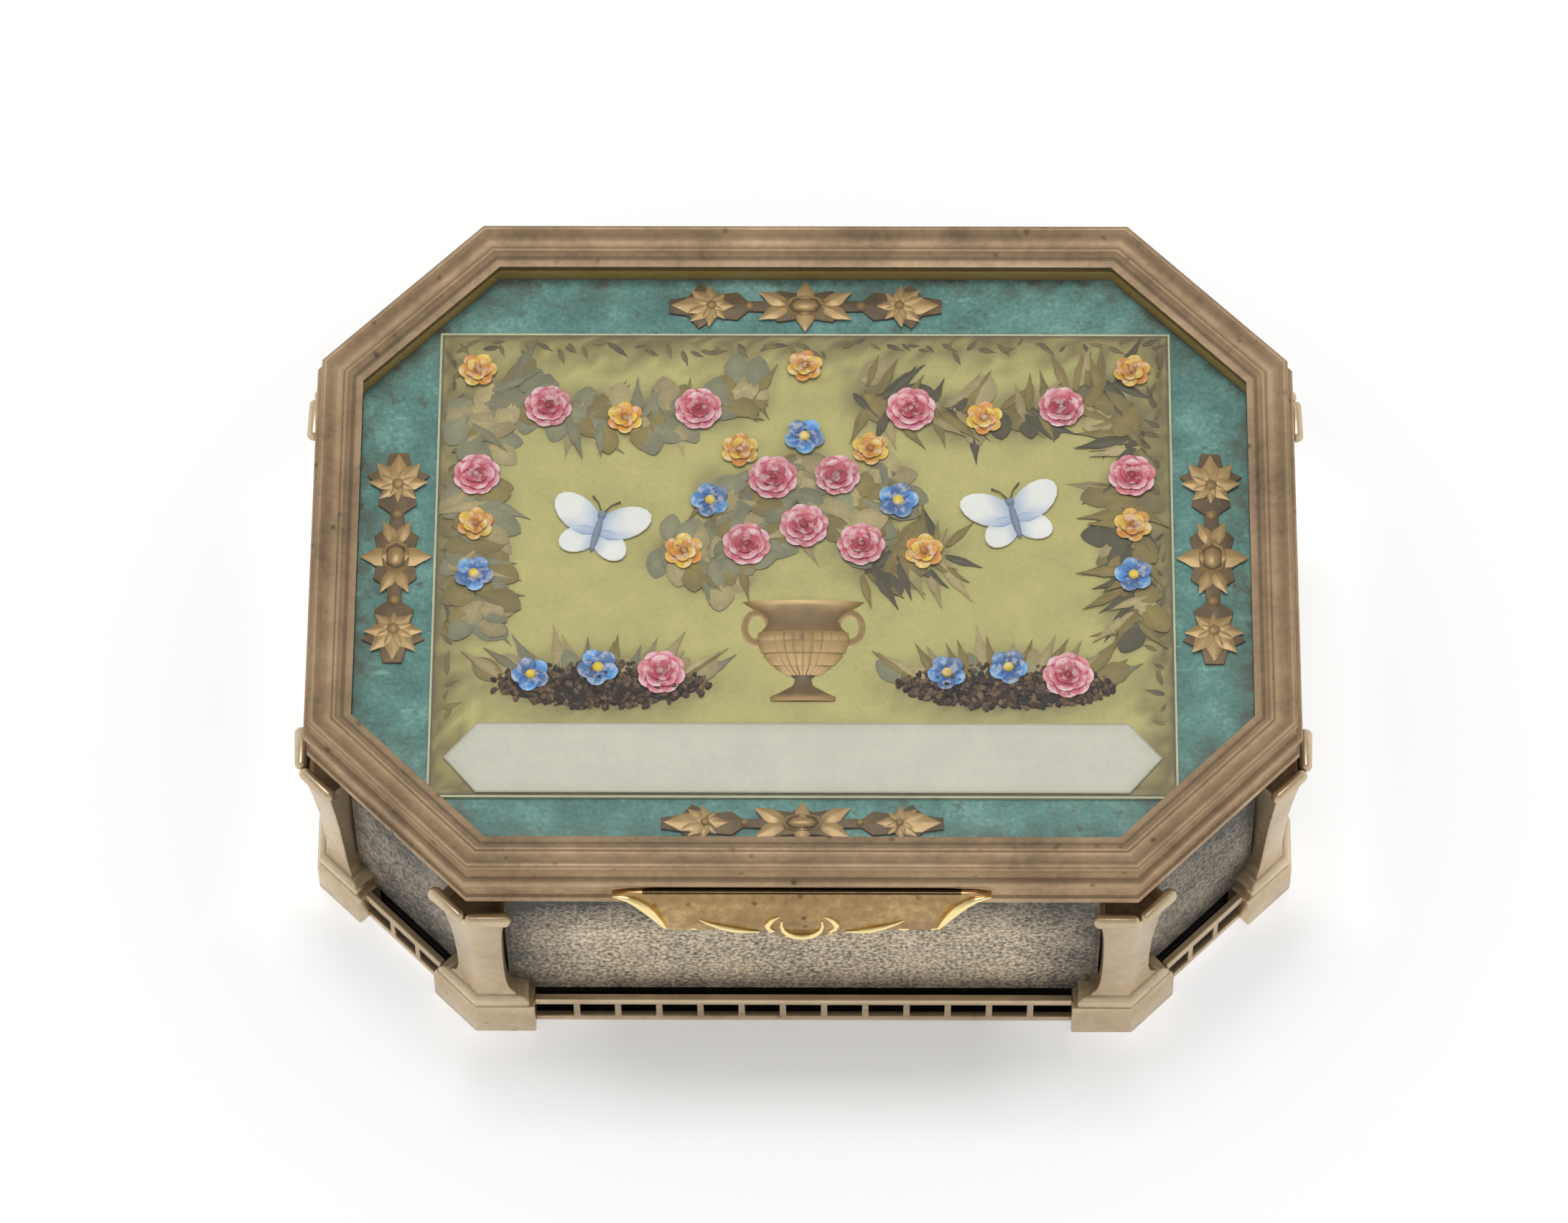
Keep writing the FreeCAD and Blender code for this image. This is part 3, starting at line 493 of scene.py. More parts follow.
def dome(name, radius, height, sides=12):
    """The upper half of a flattened ball."""
    start_clean()
    bpy.ops.mesh.primitive_uv_sphere_add(segments=sides, ring_count=8, radius=1.0)
    piece = new_piece(name)
    edit(piece)
    cut((0, 0, 0), (0, 0, 1), clear_inner=True, use_fill=True)
    pick_all()
    resize(radius, radius, height)
    leave()
    return piece


def leaf_shape(name, width, fold, point=0.14):
    """A leaf of length 1 along +X from its stalk, folded along its rib, with a long or a blunt point."""
    start_clean()
    bpy.ops.mesh.primitive_circle_add(vertices=14, radius=0.5, fill_type="TRIFAN")
    piece = new_piece(name)
    edit(piece)
    pick_all()
    bpy.ops.transform.rotate(value=math.pi / 2, orient_axis="Z", center_override=(0, 0, 0))
    move(x=0.5)
    resize(1.0, width, 1.0)
    pick(piece, "VERT", lambda vert: vert.co.x > 0.8)
    resize(1.0, 0.95 - 2.5 * point, 1.0)
    pick(piece, "VERT", lambda vert: vert.co.x > 0.98)
    move(x=point)
    pick(piece, "VERT", lambda vert: abs(vert.co.y) < 0.001 and vert.co.x < 1.0)
    move(z=fold)
    leave()
    apply(piece, "SOLIDIFY", thickness=0.03, offset=-1.0)
    return piece


def turned(name, outline, sides=28):
    """A lathe-turned body, grown upward ring by ring from its foot; outline of (radius, height)."""
    radius, height = outline[0]
    start_clean()
    bpy.ops.mesh.primitive_circle_add(vertices=sides, radius=radius, fill_type="NGON")
    piece = new_piece(name)
    edit(piece)
    pick_all()
    move(z=height)
    for next_radius, next_height in outline[1:]:
        extrude(z=next_height - height)
        ratio = next_radius / radius
        resize(ratio, ratio, 1.0, (0, 0, next_height))
        radius, height = next_radius, next_height
    close_rim(piece)
    leave()
    return piece


def rod(name, path, thickness):
    """A round rod along a path of points, as thick at each point as the list says."""
    curve = bpy.data.curves.new(name, "CURVE")
    curve.dimensions = "3D"
    curve.bevel_depth = 1.0
    curve.bevel_resolution = 3
    curve.use_fill_caps = True
    spline = curve.splines.new("POLY")
    spline.points.add(len(path) - 1)
    for point, place, radius in zip(spline.points, path, thickness):
        point.co = (*place, 1.0)
        point.radius = radius
    piece = bpy.data.objects.new(name, curve)
    bpy.context.scene.collection.objects.link(piece)
    only(piece)
    bpy.ops.object.convert(target="MESH")
    return new_piece(name)


def spot(x, y, z=0.0, turn=0.0, lean=0.0, size=(1.0, 1.0, 1.0)):
    """A placing matrix: size, then lean (raising +X), then turn about the vertical, then position."""
    return (Matrix.Translation((x, y, z)) @ Matrix.Rotation(turn, 4, "Z") @ Matrix.Rotation(-lean, 4, "Y")
            @ Matrix.Diagonal((*size, 1.0)))


# Shader building

BRUSH_WHITE = tone(250, 240, 236)
GLASS_TINT = tone(250, 253, 250)


def add(tree, kind, inputs=None, **values):
    """A node with its settings, and its inputs linked or set."""
    node = tree.nodes.new(kind)
    for name, value in values.items():
        setattr(node, name, value)
    for name, value in (inputs or {}).items():
        if isinstance(value, bpy.types.NodeSocket):
            tree.links.new(value, node.inputs[name])
        else:
            node.inputs[name].default_value = value
    return node


def calc(tree, operation, first, second=0.0, clamp=False):
    return add(tree, "ShaderNodeMath", {0: first, 1: second}, operation=operation, use_clamp=clamp).outputs[0]


def noise(tree, place, scale, detail=3.0, roughness=0.55):
    return add(tree, "ShaderNodeTexNoise", {"Vector": place, "Scale": scale, "Detail": detail,
                                            "Roughness": roughness}).outputs["Fac"]


def remap(tree, value, low, high, to_low=0.0, to_high=1.0):
    return add(tree, "ShaderNodeMapRange", {"Value": value, "From Min": low, "From Max": high,
                                            "To Min": to_low, "To Max": to_high}).outputs["Result"]


def blend(tree, factor, first, second, kind="MIX"):
    node = add(tree, "ShaderNodeMix", {0: factor, 6: first, 7: second}, data_type="RGBA", blend_type=kind)
    return node.outputs[2]


def ramp(tree, factor, stops):
    """A colour ramp with stops of (position, colour)."""
    node = add(tree, "ShaderNodeValToRGB", {"Fac": factor})
    elements = node.color_ramp.elements
    while len(elements) < len(stops):
        elements.new(0.5)
    for element, (position, value) in zip(elements, stops):
        element.position = position
        element.color = value
    return node.outputs["Color"]


def stored(tree, name, output="Fac"):
    """What a mesh keeps under a name, read back by its finish."""
    return add(tree, "ShaderNodeAttribute", attribute_name=name).outputs[output]


def seen_ray(tree, path):
    """1 for a ray that comes from the camera, straight or by way of metal or glass."""
    return calc(tree, "MAXIMUM", calc(tree, "MAXIMUM", path["Is Camera Ray"], path["Is Glossy Ray"]),
                path["Is Transmission Ray"])


def new_group(name, inputs, outputs):
    """An empty shader group with its sockets, and the ends inside it."""
    tree = bpy.data.node_groups.new(name, "ShaderNodeTree")
    for label, kind in inputs:
        tree.interface.new_socket(label, in_out="INPUT", socket_type=kind)
    for label, kind in outputs:
        tree.interface.new_socket(label, in_out="OUTPUT", socket_type=kind)
    return tree, tree.nodes.new("NodeGroupInput").outputs, tree.nodes.new("NodeGroupOutput").inputs


def gilding_wear():
    """Old gilding: broad tarnish, fine mottling, pits, and rubbing where the shape stands out."""
    name = "gilding_wear"
    if name in bpy.data.node_groups:
        return bpy.data.node_groups[name]
    tree, given, out = new_group(
        name, [("Place", "NodeSocketVector"), ("Hollow", "NodeSocketFloat"), ("Rub", "NodeSocketFloat"),
               ("Tarnish", "NodeSocketFloat"), ("Polish", "NodeSocketFloat")],
        [("Wear", "NodeSocketFloat"), ("Roughness", "NodeSocketFloat"), ("Height", "NodeSocketFloat")])
    broad = noise(tree, given["Place"], 130.0, 4.0, 0.6)
    fine = noise(tree, given["Place"], 1300.0, 3.0, 0.6)
    pits = add(tree, "ShaderNodeTexVoronoi", {"Vector": given["Place"], "Scale": 420.0}).outputs["Distance"]
    pit = remap(tree, pits, 0.16, 0.05)
    mottle = calc(tree, "ADD", calc(tree, "MULTIPLY", calc(tree, "SUBTRACT", broad, 0.5), given["Tarnish"]),
                  calc(tree, "MULTIPLY", calc(tree, "SUBTRACT", fine, 0.5), 0.35))
    rub = calc(tree, "MULTIPLY", calc(tree, "SUBTRACT", given["Hollow"], 0.5), given["Rub"])
    wear = calc(tree, "ADD", calc(tree, "ADD", 0.5, mottle), rub)
    wear = calc(tree, "SUBTRACT", wear, calc(tree, "MULTIPLY", pit, 0.25), clamp=True)
    tree.links.new(wear, out["Wear"])
    dull = calc(tree, "SUBTRACT", remap(tree, wear, 0.0, 1.0, 0.62, 0.40),
                calc(tree, "MULTIPLY", given["Polish"], 0.3))
    tree.links.new(calc(tree, "ADD", dull, calc(tree, "MULTIPLY", fine, 0.06)), out["Roughness"])
    tree.links.new(calc(tree, "SUBTRACT", calc(tree, "MULTIPLY", fine, 0.6), pit), out["Height"])
    return tree


def new_material(name):
    """A material with one Principled shader: its tree, the shader and Object coordinates."""
    material = bpy.data.materials.new(name)
    material.use_nodes = True
    tree = material.node_tree
    place = tree.nodes.new("ShaderNodeTexCoord").outputs["Object"]
    return material, tree, tree.nodes["Principled BSDF"], place


def outside(tree, place, node):
    """How far outside a node's eight-sided outline a point lies; less than zero is inside."""
    points = [vert.co for vert in NODES[node].data.vertices]
    split = add(tree, "ShaderNodeSeparateXYZ", {0: place}).outputs
    across, along = calc(tree, "ABSOLUTE", split["X"]), calc(tree, "ABSOLUTE", split["Y"])
    slant = calc(tree, "MULTIPLY", calc(tree, "ADD", across, along), math.sqrt(0.5))
    away = [calc(tree, "SUBTRACT", across, max(point.x for point in points)),
            calc(tree, "SUBTRACT", along, max(point.y for point in points)),
            calc(tree, "SUBTRACT", slant, max(point.x + point.y for point in points) * math.sqrt(0.5))]
    return calc(tree, "MAXIMUM", calc(tree, "MAXIMUM", away[0], away[1]), away[2])


def bump(tree, shader, height, depth, strength=1.0):
    node = add(tree, "ShaderNodeBump", {"Height": height, "Distance": depth, "Strength": strength})
    tree.links.new(node.outputs["Normal"], shader.inputs["Normal"])


def gilding(name, dark, mid, bright, rub=1.4, tarnish=0.9, polish=0.6, metal=1.0):
    """Gilt metal from tarnish in its hollows to rubbed high points, darkened where grime and painted shade are
    stored.
    """
    if name in bpy.data.materials:
        return bpy.data.materials[name]
    material, tree, shader, place = new_material(name)
    wear = add(tree, "ShaderNodeGroup", {"Place": place, "Hollow": stored(tree, "hollow"), "Rub": rub,
                                         "Tarnish": tarnish, "Polish": polish}, node_tree=gilding_wear())
    gilt = ramp(tree, wear.outputs["Wear"], [(0.12, dark), (0.5, mid), (0.9, bright)])
    # Grime, dark oxide and painted shade, as stored on each piece, darken the gilding here
    sooty = blend(tree, stored(tree, "soot"), gilt, settings().gilding.soot)
    tree.links.new(sooty, shader.inputs["Base Color"])
    tree.links.new(wear.outputs["Roughness"], shader.inputs["Roughness"])
    shader.inputs["Metallic"].default_value = metal
    bump(tree, shader, wear.outputs["Height"], 0.012 * MM, 0.7)
    return material


def lid_gilt():
    g = settings().gilding
    return gilding("lid_gilt_finish", g.lid_dark, g.lid_mid, g.lid_bright,
                   rub=0.35, tarnish=0.9, polish=0.1, metal=0.45)


def mount_gilt():
    g = settings().gilding
    return gilding("mount_gilt_finish", g.mount_dark, g.mount_mid, g.mount_bright,
                   rub=1.3, tarnish=0.6, polish=0.6, metal=0.8)


def thumb_gilt():
    g = settings().gilding
    return gilding("thumb_gilt_finish", g.thumb_dark, g.thumb_mid, g.thumb_bright,
                   rub=1.8, tarnish=0.5, polish=1.0)


def inner_gilt():
    g = settings().gilding
    return gilding("inner_gilt_finish", g.inner_dark, g.inner_mid, g.inner_bright, rub=1.2, tarnish=0.9)


def gilt_paper():
    c = settings().collage
    return gilding("gilt_paper_finish", c.gilt_dark, c.gilt_mid, c.gilt_bright,
                   rub=1.6, tarnish=1.0, polish=0.0, metal=0.25)


def panel_metal():
    """Dark matted metal, gold on its highest grains most of all mid-panel, with painted shade towards the top."""
    name = "panel_metal_finish"
    if name in bpy.data.materials:
        return bpy.data.materials[name]
    p = settings().panels
    material, tree, shader, place = new_material(name)
    broad = noise(tree, place, 160.0, 4.0, 0.6)
    speck = remap(tree, noise(tree, place, 2700.0, 2.0, 0.6), 0.36, 0.68)
    grain = calc(tree, "ADD", calc(tree, "MULTIPLY", remap(tree, stored(tree, "hollow"), 0.25, 0.75), 0.45),
                 calc(tree, "MULTIPLY", speck, 0.56))
    # Less gold towards a panel's sides, and painted shade towards its top under the lid
    level = calc(tree, "MULTIPLY", grain, remap(tree, stored(tree, "middle"), 0.0, 1.0, 0.22, 1.0))
    level = calc(tree, "ADD", level, calc(tree, "MULTIPLY", calc(tree, "SUBTRACT", broad, 0.5), 0.45), clamp=True)
    tree.links.new(ramp(tree, level, [(0.08, p.dark), (0.5, p.mid), (0.85, p.fleck)]), shader.inputs["Base Color"])
    tree.links.new(remap(tree, level, 0.0, 1.0, 0.62, 0.34), shader.inputs["Roughness"])
    shader.inputs["Metallic"].default_value = 0.85
    bump(tree, shader, noise(tree, place, 3200.0, 2.0), 0.015 * MM, 0.6)
    return material


def paper_wear():
    """Old paper: cloudy mottling and fibre."""
    name = "paper_wear"
    if name in bpy.data.node_groups:
        return bpy.data.node_groups[name]
    tree, given, out = new_group(name, [("Place", "NodeSocketVector")],
                                 [("Mottle", "NodeSocketFloat"), ("Height", "NodeSocketFloat")])
    cloud = noise(tree, given["Place"], 260.0, 4.0, 0.6)
    fibre = noise(tree, given["Place"], 2400.0, 3.0, 0.6)
    tree.links.new(calc(tree, "ADD", calc(tree, "MULTIPLY", cloud, 0.6), calc(tree, "MULTIPLY", fibre, 0.4)),
                   out["Mottle"])
    tree.links.new(fibre, out["Height"])
    return tree


def painted(name, mottle, roughness=0.6, strokes=0.0):
    """Painted or printed paper whose colours are stored on the mesh, with paler brush strokes over them."""
    if name in bpy.data.materials:
        return bpy.data.materials[name]
    material, tree, shader, place = new_material(name)
    wear = add(tree, "ShaderNodeGroup", {"Place": place}, node_tree=paper_wear())
    shade = remap(tree, wear.outputs["Mottle"], 0.3, 0.7, 1.0 - mottle, 1.0 + 0.4 * mottle)
    brush = remap(tree, noise(tree, place, 1500.0, 2.0, 0.5), 0.50, 0.62, 0.0, strokes)
    body = blend(tree, 1.0, stored(tree, "tint", "Color"), shade, "MULTIPLY")
    tree.links.new(blend(tree, brush, body, BRUSH_WHITE), shader.inputs["Base Color"])
    shader.inputs["Roughness"].default_value = roughness
    bump(tree, shader, wear.outputs["Height"], 0.02 * MM, 0.6)
    return material


def teal_paper():
    """Teal paper, rubbed pale in streaks and specked with brown."""
    name = "teal_paper_finish"
    if name in bpy.data.materials:
        return bpy.data.materials[name]
    c = settings().collage
    material, tree, shader, place = new_material(name)
    wear = add(tree, "ShaderNodeGroup", {"Place": place}, node_tree=paper_wear())
    drawn_out = add(tree, "ShaderNodeVectorMath", {0: place, 1: (0.25, 1.0, 1.0)}, operation="MULTIPLY").outputs[0]
    streaks = noise(tree, drawn_out, 900.0, 4.0, 0.65)
    rubbed = calc(tree, "ADD", remap(tree, wear.outputs["Mottle"], 0.38, 0.68), remap(tree, streaks, 0.62, 0.78),
                  clamp=True)
    specks = noise(tree, place, 620.0, 3.0, 0.7)
    speck = calc(tree, "MULTIPLY", remap(tree, specks, 0.60, 0.68), remap(tree, noise(tree, place, 90.0), 0.45, 0.65))
    grime = calc(tree, "MULTIPLY", remap(tree, noise(tree, place, 380.0, 4.0, 0.7), 0.44, 0.62),
                 remap(tree, outside(tree, place, "picture_mount"), -3.4 * MM, -0.6 * MM))
    speck = calc(tree, "MAXIMUM", speck, calc(tree, "MULTIPLY", grime, 0.85))
    cloudy = ramp(tree, rubbed, [(0.0, c.teal_deep), (0.5, c.teal), (1.0, c.teal_rubbed)])
    tree.links.new(blend(tree, speck, cloudy, c.teal_speck), shader.inputs["Base Color"])
    shader.inputs["Roughness"].default_value = 0.6
    bump(tree, shader, wear.outputs["Height"], 0.02 * MM, 0.6)
    return material


def clear_glass():
    """Old clear glass that lets the lamps through to what is behind it."""
    name = "clear_glass_finish"
    if name in bpy.data.materials:
        return bpy.data.materials[name]
    material, tree, shader, _ = new_material(name)
    shader.inputs["Base Color"].default_value = GLASS_TINT
    shader.inputs["Transmission Weight"].default_value = 1.0
    shader.inputs["Roughness"].default_value = 0.03
    shader.inputs["IOR"].default_value = 1.33
    path = tree.nodes.new("ShaderNodeLightPath")
    clear = add(tree, "ShaderNodeBsdfTransparent").outputs["BSDF"]
    surface = shader.outputs["BSDF"]
    for ray in ("Is Shadow Ray", "Is Diffuse Ray"):
        surface = add(tree, "ShaderNodeMixShader", {0: path.outputs[ray], 1: surface, 2: clear}).outputs[0]
    tree.links.new(surface, tree.nodes["Material Output"].inputs["Surface"])
    return material


# The casket's pieces

class CASKET_OT_lid_moulding(bpy.types.Operator):
    """Mitred moulding of the lid, with its ridges rubbed bright"""
    bl_idname = "casket.lid_moulding"
    bl_label = "Lid moulding"

    # Where the grime lies above the glass, in millimetres, and the least lean inward of a slope that it lies on
    GRIME_FROM, GRIME_TO = -0.2, 0.85
    GRIME_LEAN = 0.3
    # How thickly grime lies, and how dark the painted shade on the faces that look up is
    GRIME, DUST = 0.62, 0.36

    def execute(self, context):
        piece = node_copy("lid_frame", "lid_moulding")
        soften(piece, 2.2 * settings().gilding.edge_round, segments=3)
        mark_hollows(piece)
        self.mark_grime(piece)
        finish_piece(piece, "lid", "lid_gilt", lid_gilt(), "lid_frame")
        return {"FINISHED"}

    def mark_grime(self, piece):
        """Stores painted shade on the faces that look up, and thicker grime on the slope that runs down to the glass.
        """
        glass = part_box("glass_pane")[1].z
        low, high = glass + self.GRIME_FROM * MM, glass + self.GRIME_TO * MM
        values = []
        for face in piece.data.polygons:
            lean = -face.normal.dot(face.center * Vector((1, 1, 0))) / face.center.xy.length
            grimy = lean > self.GRIME_LEAN and low < face.center.z < high
            # Faces that look up get painted shade; the slope down to the glass gets grime
            values.append(self.GRIME if grimy else self.DUST * limit(2.0 * face.normal.z - 0.4))
        store(piece, "soot", "FACE", values)


class CASKET_OT_case_shell(bpy.types.Operator):
    """Floor, wall and rim of the case, and the plate under the lid"""
    bl_idname = "casket.case_shell"
    bl_label = "Case shell"

    # Least lean outward of a face that is darkened
    SOOT_LEAN = 0.3

    def execute(self, context):
        plates = (("floor_plate", "case", "inner_gilt", inner_gilt()),
                  ("case_wall", "case", "inner_gilt", inner_gilt()),
                  ("case_rim", "case", "lid_gilt", lid_gilt()),
                  ("lid_back_plate", "lid", "inner_gilt", inner_gilt()))
        under_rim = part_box("case_rim")[0].z
        for node, body, slot, material in plates:
            piece = node_copy(node, node + "_sheet")
            edit(piece)
            cut((0, 0, under_rim), (0, 0, 1))
            leave()
            soften(piece, settings().gilding.edge_round)
            mark_hollows(piece)
            if body == "case":
                self.mark_soot(piece, under_rim)
            finish_piece(piece, body, slot, material, node)
        return {"FINISHED"}

    def mark_soot(self, piece, under_rim):
        """Stores dark oxide and painted shade on the faces under the rim that look outward, behind the galleries."""
        values = []
        for face in piece.data.polygons:
            outward = face.normal.dot(face.center * Vector((1, 1, 0))) > self.SOOT_LEAN * face.center.xy.length
            values.append(1.0 if outward and face.center.z < under_rim else 0.0)
        store(piece, "soot", "FACE", values)


class CASKET_OT_panels(bpy.types.Operator):
    """Matted facing of each side"""
    bl_idname = "casket.panels"
    bl_label = "Matted panels"

    # Gold left on a cut corner beside that on a long side, how high its middle lies as a share of half the height,
    # and how steeply it fades across and upward; the fade towards the top is painted shade under the lid
    CORNER_GOLD = 0.25
    GOLD_HEIGHT = 0.75
    GOLD_ACROSS, GOLD_UP = 3.5, 1.5

    def execute(self, context):
        p = settings().panels
        matting = bpy.data.textures.new("matting", "CLOUDS")
        matting.noise_scale = p.grain_size
        for number, side in enumerate(SIDES):
            turn = CORNER_ANGLE * number
            node = side + "_panel"
            low, high = turned_box(node, turn)
            width, height = high.x - low.x, high.z - low.z
            start_clean()
            bpy.ops.mesh.primitive_grid_add(x_subdivisions=round(width / p.cell),
                                            y_subdivisions=round(height / p.cell), size=1.0)
            piece = new_piece(node + "_facing")
            edit(piece)
            pick_all()
            resize(width, height, 1.0)
            leave()
            middle = Matrix.Translation(((low.x + high.x) / 2, low.y, (low.z + high.z) / 2))
            piece.data.transform(middle @ Matrix.Rotation(math.pi / 2, 4, "X"))
            apply(piece, "DISPLACE", texture=matting, texture_coords="LOCAL", strength=p.grain_depth, mid_level=1.0)
            edit(piece)
            close_back(piece, y=high.y - low.y - p.grain_depth)
            leave()
            mark_hollows(piece, gain=2.2, blur=0)
            self.mark_middle(piece, low, high, self.CORNER_GOLD if "corner" in side else 1.0)
            smooth(piece, 60.0)
            piece.data.transform(Matrix.Rotation(turn, 4, "Z"))
            finish_piece(piece, "case", "panel_metal", panel_metal(), node)
        return {"FINISHED"}

    def mark_middle(self, piece, low, high, most):
        """Stores nearness to the panel's middle: more gold there, and painted shade towards the top under the lid."""
        half_width, half_height = (high.x - low.x) / 2, (high.z - low.z) / 2
        values = []
        for vert in piece.data.vertices:
            across = 1 - abs(vert.co.x - (low.x + high.x) / 2) / half_width
            up = 1 - abs(vert.co.z - (low.z + self.GOLD_HEIGHT * half_height)) / half_height
            values.append(most * min(1.0, across * self.GOLD_ACROSS) * min(1.0, up * self.GOLD_UP))
        store(piece, "middle", "POINT", values)


class CASKET_OT_plinths_and_galleries(bpy.types.Operator):
    """Blocks under the pilasters and the pierced rails between them"""
    bl_idname = "casket.plinths_and_galleries"
    bl_label = "Plinths and galleries"

    def execute(self, context):
        edge = settings().gilding.edge_round
        for node, rounding in [("plinth_" + corner, 2.5 * edge) for corner in CORNERS] + [
                (side + "_gallery", edge) for side in SIDES]:
            piece = node_copy(node, node + "_casting")
            soften(piece, rounding, segments=3)
            mark_hollows(piece)
            finish_piece(piece, "case", "mount_gilt", mount_gilt(), node)
        return {"FINISHED"}


class CASKET_OT_pilasters(bpy.types.Operator):
    """Corner pilasters with rolled feet and curled capitals"""
    bl_idname = "casket.pilasters"
    bl_label = "Pilasters"

    # Height above the plinth, reach from the wall and width along the side, in millimetres
    SECTIONS = (
        (0.00, 2.25, 3.55), (0.22, 2.55, 3.85), (0.70, 2.66, 3.95), (1.18, 2.58, 3.85), (1.48, 2.28, 3.45),
        (1.62, 2.02, 2.80), (1.95, 1.92, 2.40), (2.60, 1.84, 2.12), (3.80, 1.80, 1.92), (6.50, 1.88, 1.82),
        (10.0, 2.10, 1.82), (13.5, 2.45, 1.90), (16.0, 2.78, 2.05), (17.6, 3.05, 2.25), (18.6, 3.20, 2.38),
        (19.0, 3.05, 2.35))
    # The leg's start past the corner and the rounding of its edges, in millimetres
    LEG_START, LEG_ROUND = -1.8, 0.16
    # The capital's curled lip, in millimetres, with the swelling of its knob
    LIP_REACH, LIP_HEIGHT, LIP_RADIUS = 3.22, 19.30, 0.56
    LIP_START, LIP_END, LIP_KNOB = -0.72, 2.30, 1.25
    # Edge and depth of the sunk top, in millimetres
    WELL_EDGE, WELL_DEPTH = 0.40, 1.30

    def execute(self, context):
        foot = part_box("plinth_" + CORNERS[0])[1].z
        half_turn = CORNER_ANGLE / 2
        leg = self.leg(foot)
        lip = self.lip(foot)
        body = join([leg, lip], "pilaster_half")
        body.data.transform(Matrix.Rotation(half_turn, 4, "Z"))
        apply(body, "MIRROR", use_clip=True, merge_threshold=WELD * 4)
        merge(body)
        smooth(body, 35.0)
        mark_hollows(body)
        for number, corner in enumerate(wall_corners()):
            node = "pilaster_" + CORNERS[number]
            turn = Matrix.Rotation(CORNER_ANGLE * number - half_turn, 4, "Z")
            piece = stamp(body, Matrix.Translation(corner) @ turn)
            piece.name = node + "_casting"
            finish_piece(piece, "case", "mount_gilt", mount_gilt(), node)
        discard(body)
        return {"FINISHED"}

    def leg(self, foot):
        """Half a pilaster, along one side, cut off at the corner's mitre."""
        start = self.LEG_START * MM
        sections = [(foot + height * MM, reach * MM, width * MM) for height, reach, width in self.SECTIONS]
        height, reach, width = sections[0]
        start_clean()
        bpy.ops.mesh.primitive_plane_add(size=1.0)
        piece = new_piece("pilaster_leg")
        edit(piece)
        pick_all()
        resize(width - start, reach, 1.0)
        move((width + start) / 2, -reach / 2, height)
        for next_height, next_reach, next_width in sections[1:]:
            bpy.ops.mesh.select_mode(type="FACE")
            extrude(z=next_height - height)
            pick(piece, "VERT", lambda vert: vert.co.z > next_height - WELD and vert.co.x > 0)
            move(x=next_width - width)
            pick(piece, "VERT", lambda vert: vert.co.z > next_height - WELD and vert.co.y < -WELD)
            move(y=reach - next_reach)
            pick(piece, "FACE", lambda face: all(vert.co.z > next_height - WELD for vert in face.verts))
            height, reach, width = next_height, next_reach, next_width
        bpy.ops.mesh.inset(thickness=self.WELL_EDGE * MM)
        move(z=-self.WELL_DEPTH * MM)
        close_rim(piece)
        face_outward()
        leave()
        bevel(piece, self.LEG_ROUND * MM, segments=3, sharper_than=50.0)
        edit(piece)
        mitre = CORNER_ANGLE / 2
        cut((0, 0, 0), (math.cos(mitre), -math.sin(mitre), 0), clear_inner=True)
        leave()
        return piece

    def lip(self, foot):
        """Half of a capital's curled lip: a ball drawn out along the side, with a knob at its end."""
        start_clean()
        bpy.ops.mesh.primitive_uv_sphere_add(segments=16, ring_count=12, radius=self.LIP_RADIUS * MM)
        piece = new_piece("capital_lip")
        piece.data.transform(Matrix.Rotation(math.pi / 2, 4, "Y"))
        length_along = (self.LIP_END - self.LIP_START) * MM
        edit(piece)
        pick(piece, "VERT", lambda vert: vert.co.x > WELD)
        move(x=length_along)
        resize(self.LIP_KNOB, self.LIP_KNOB, self.LIP_KNOB, (length_along, 0, 0))
        pick_all()
        move(self.LIP_START * MM, -self.LIP_REACH * MM, foot + self.LIP_HEIGHT * MM)
        leave()
        return piece


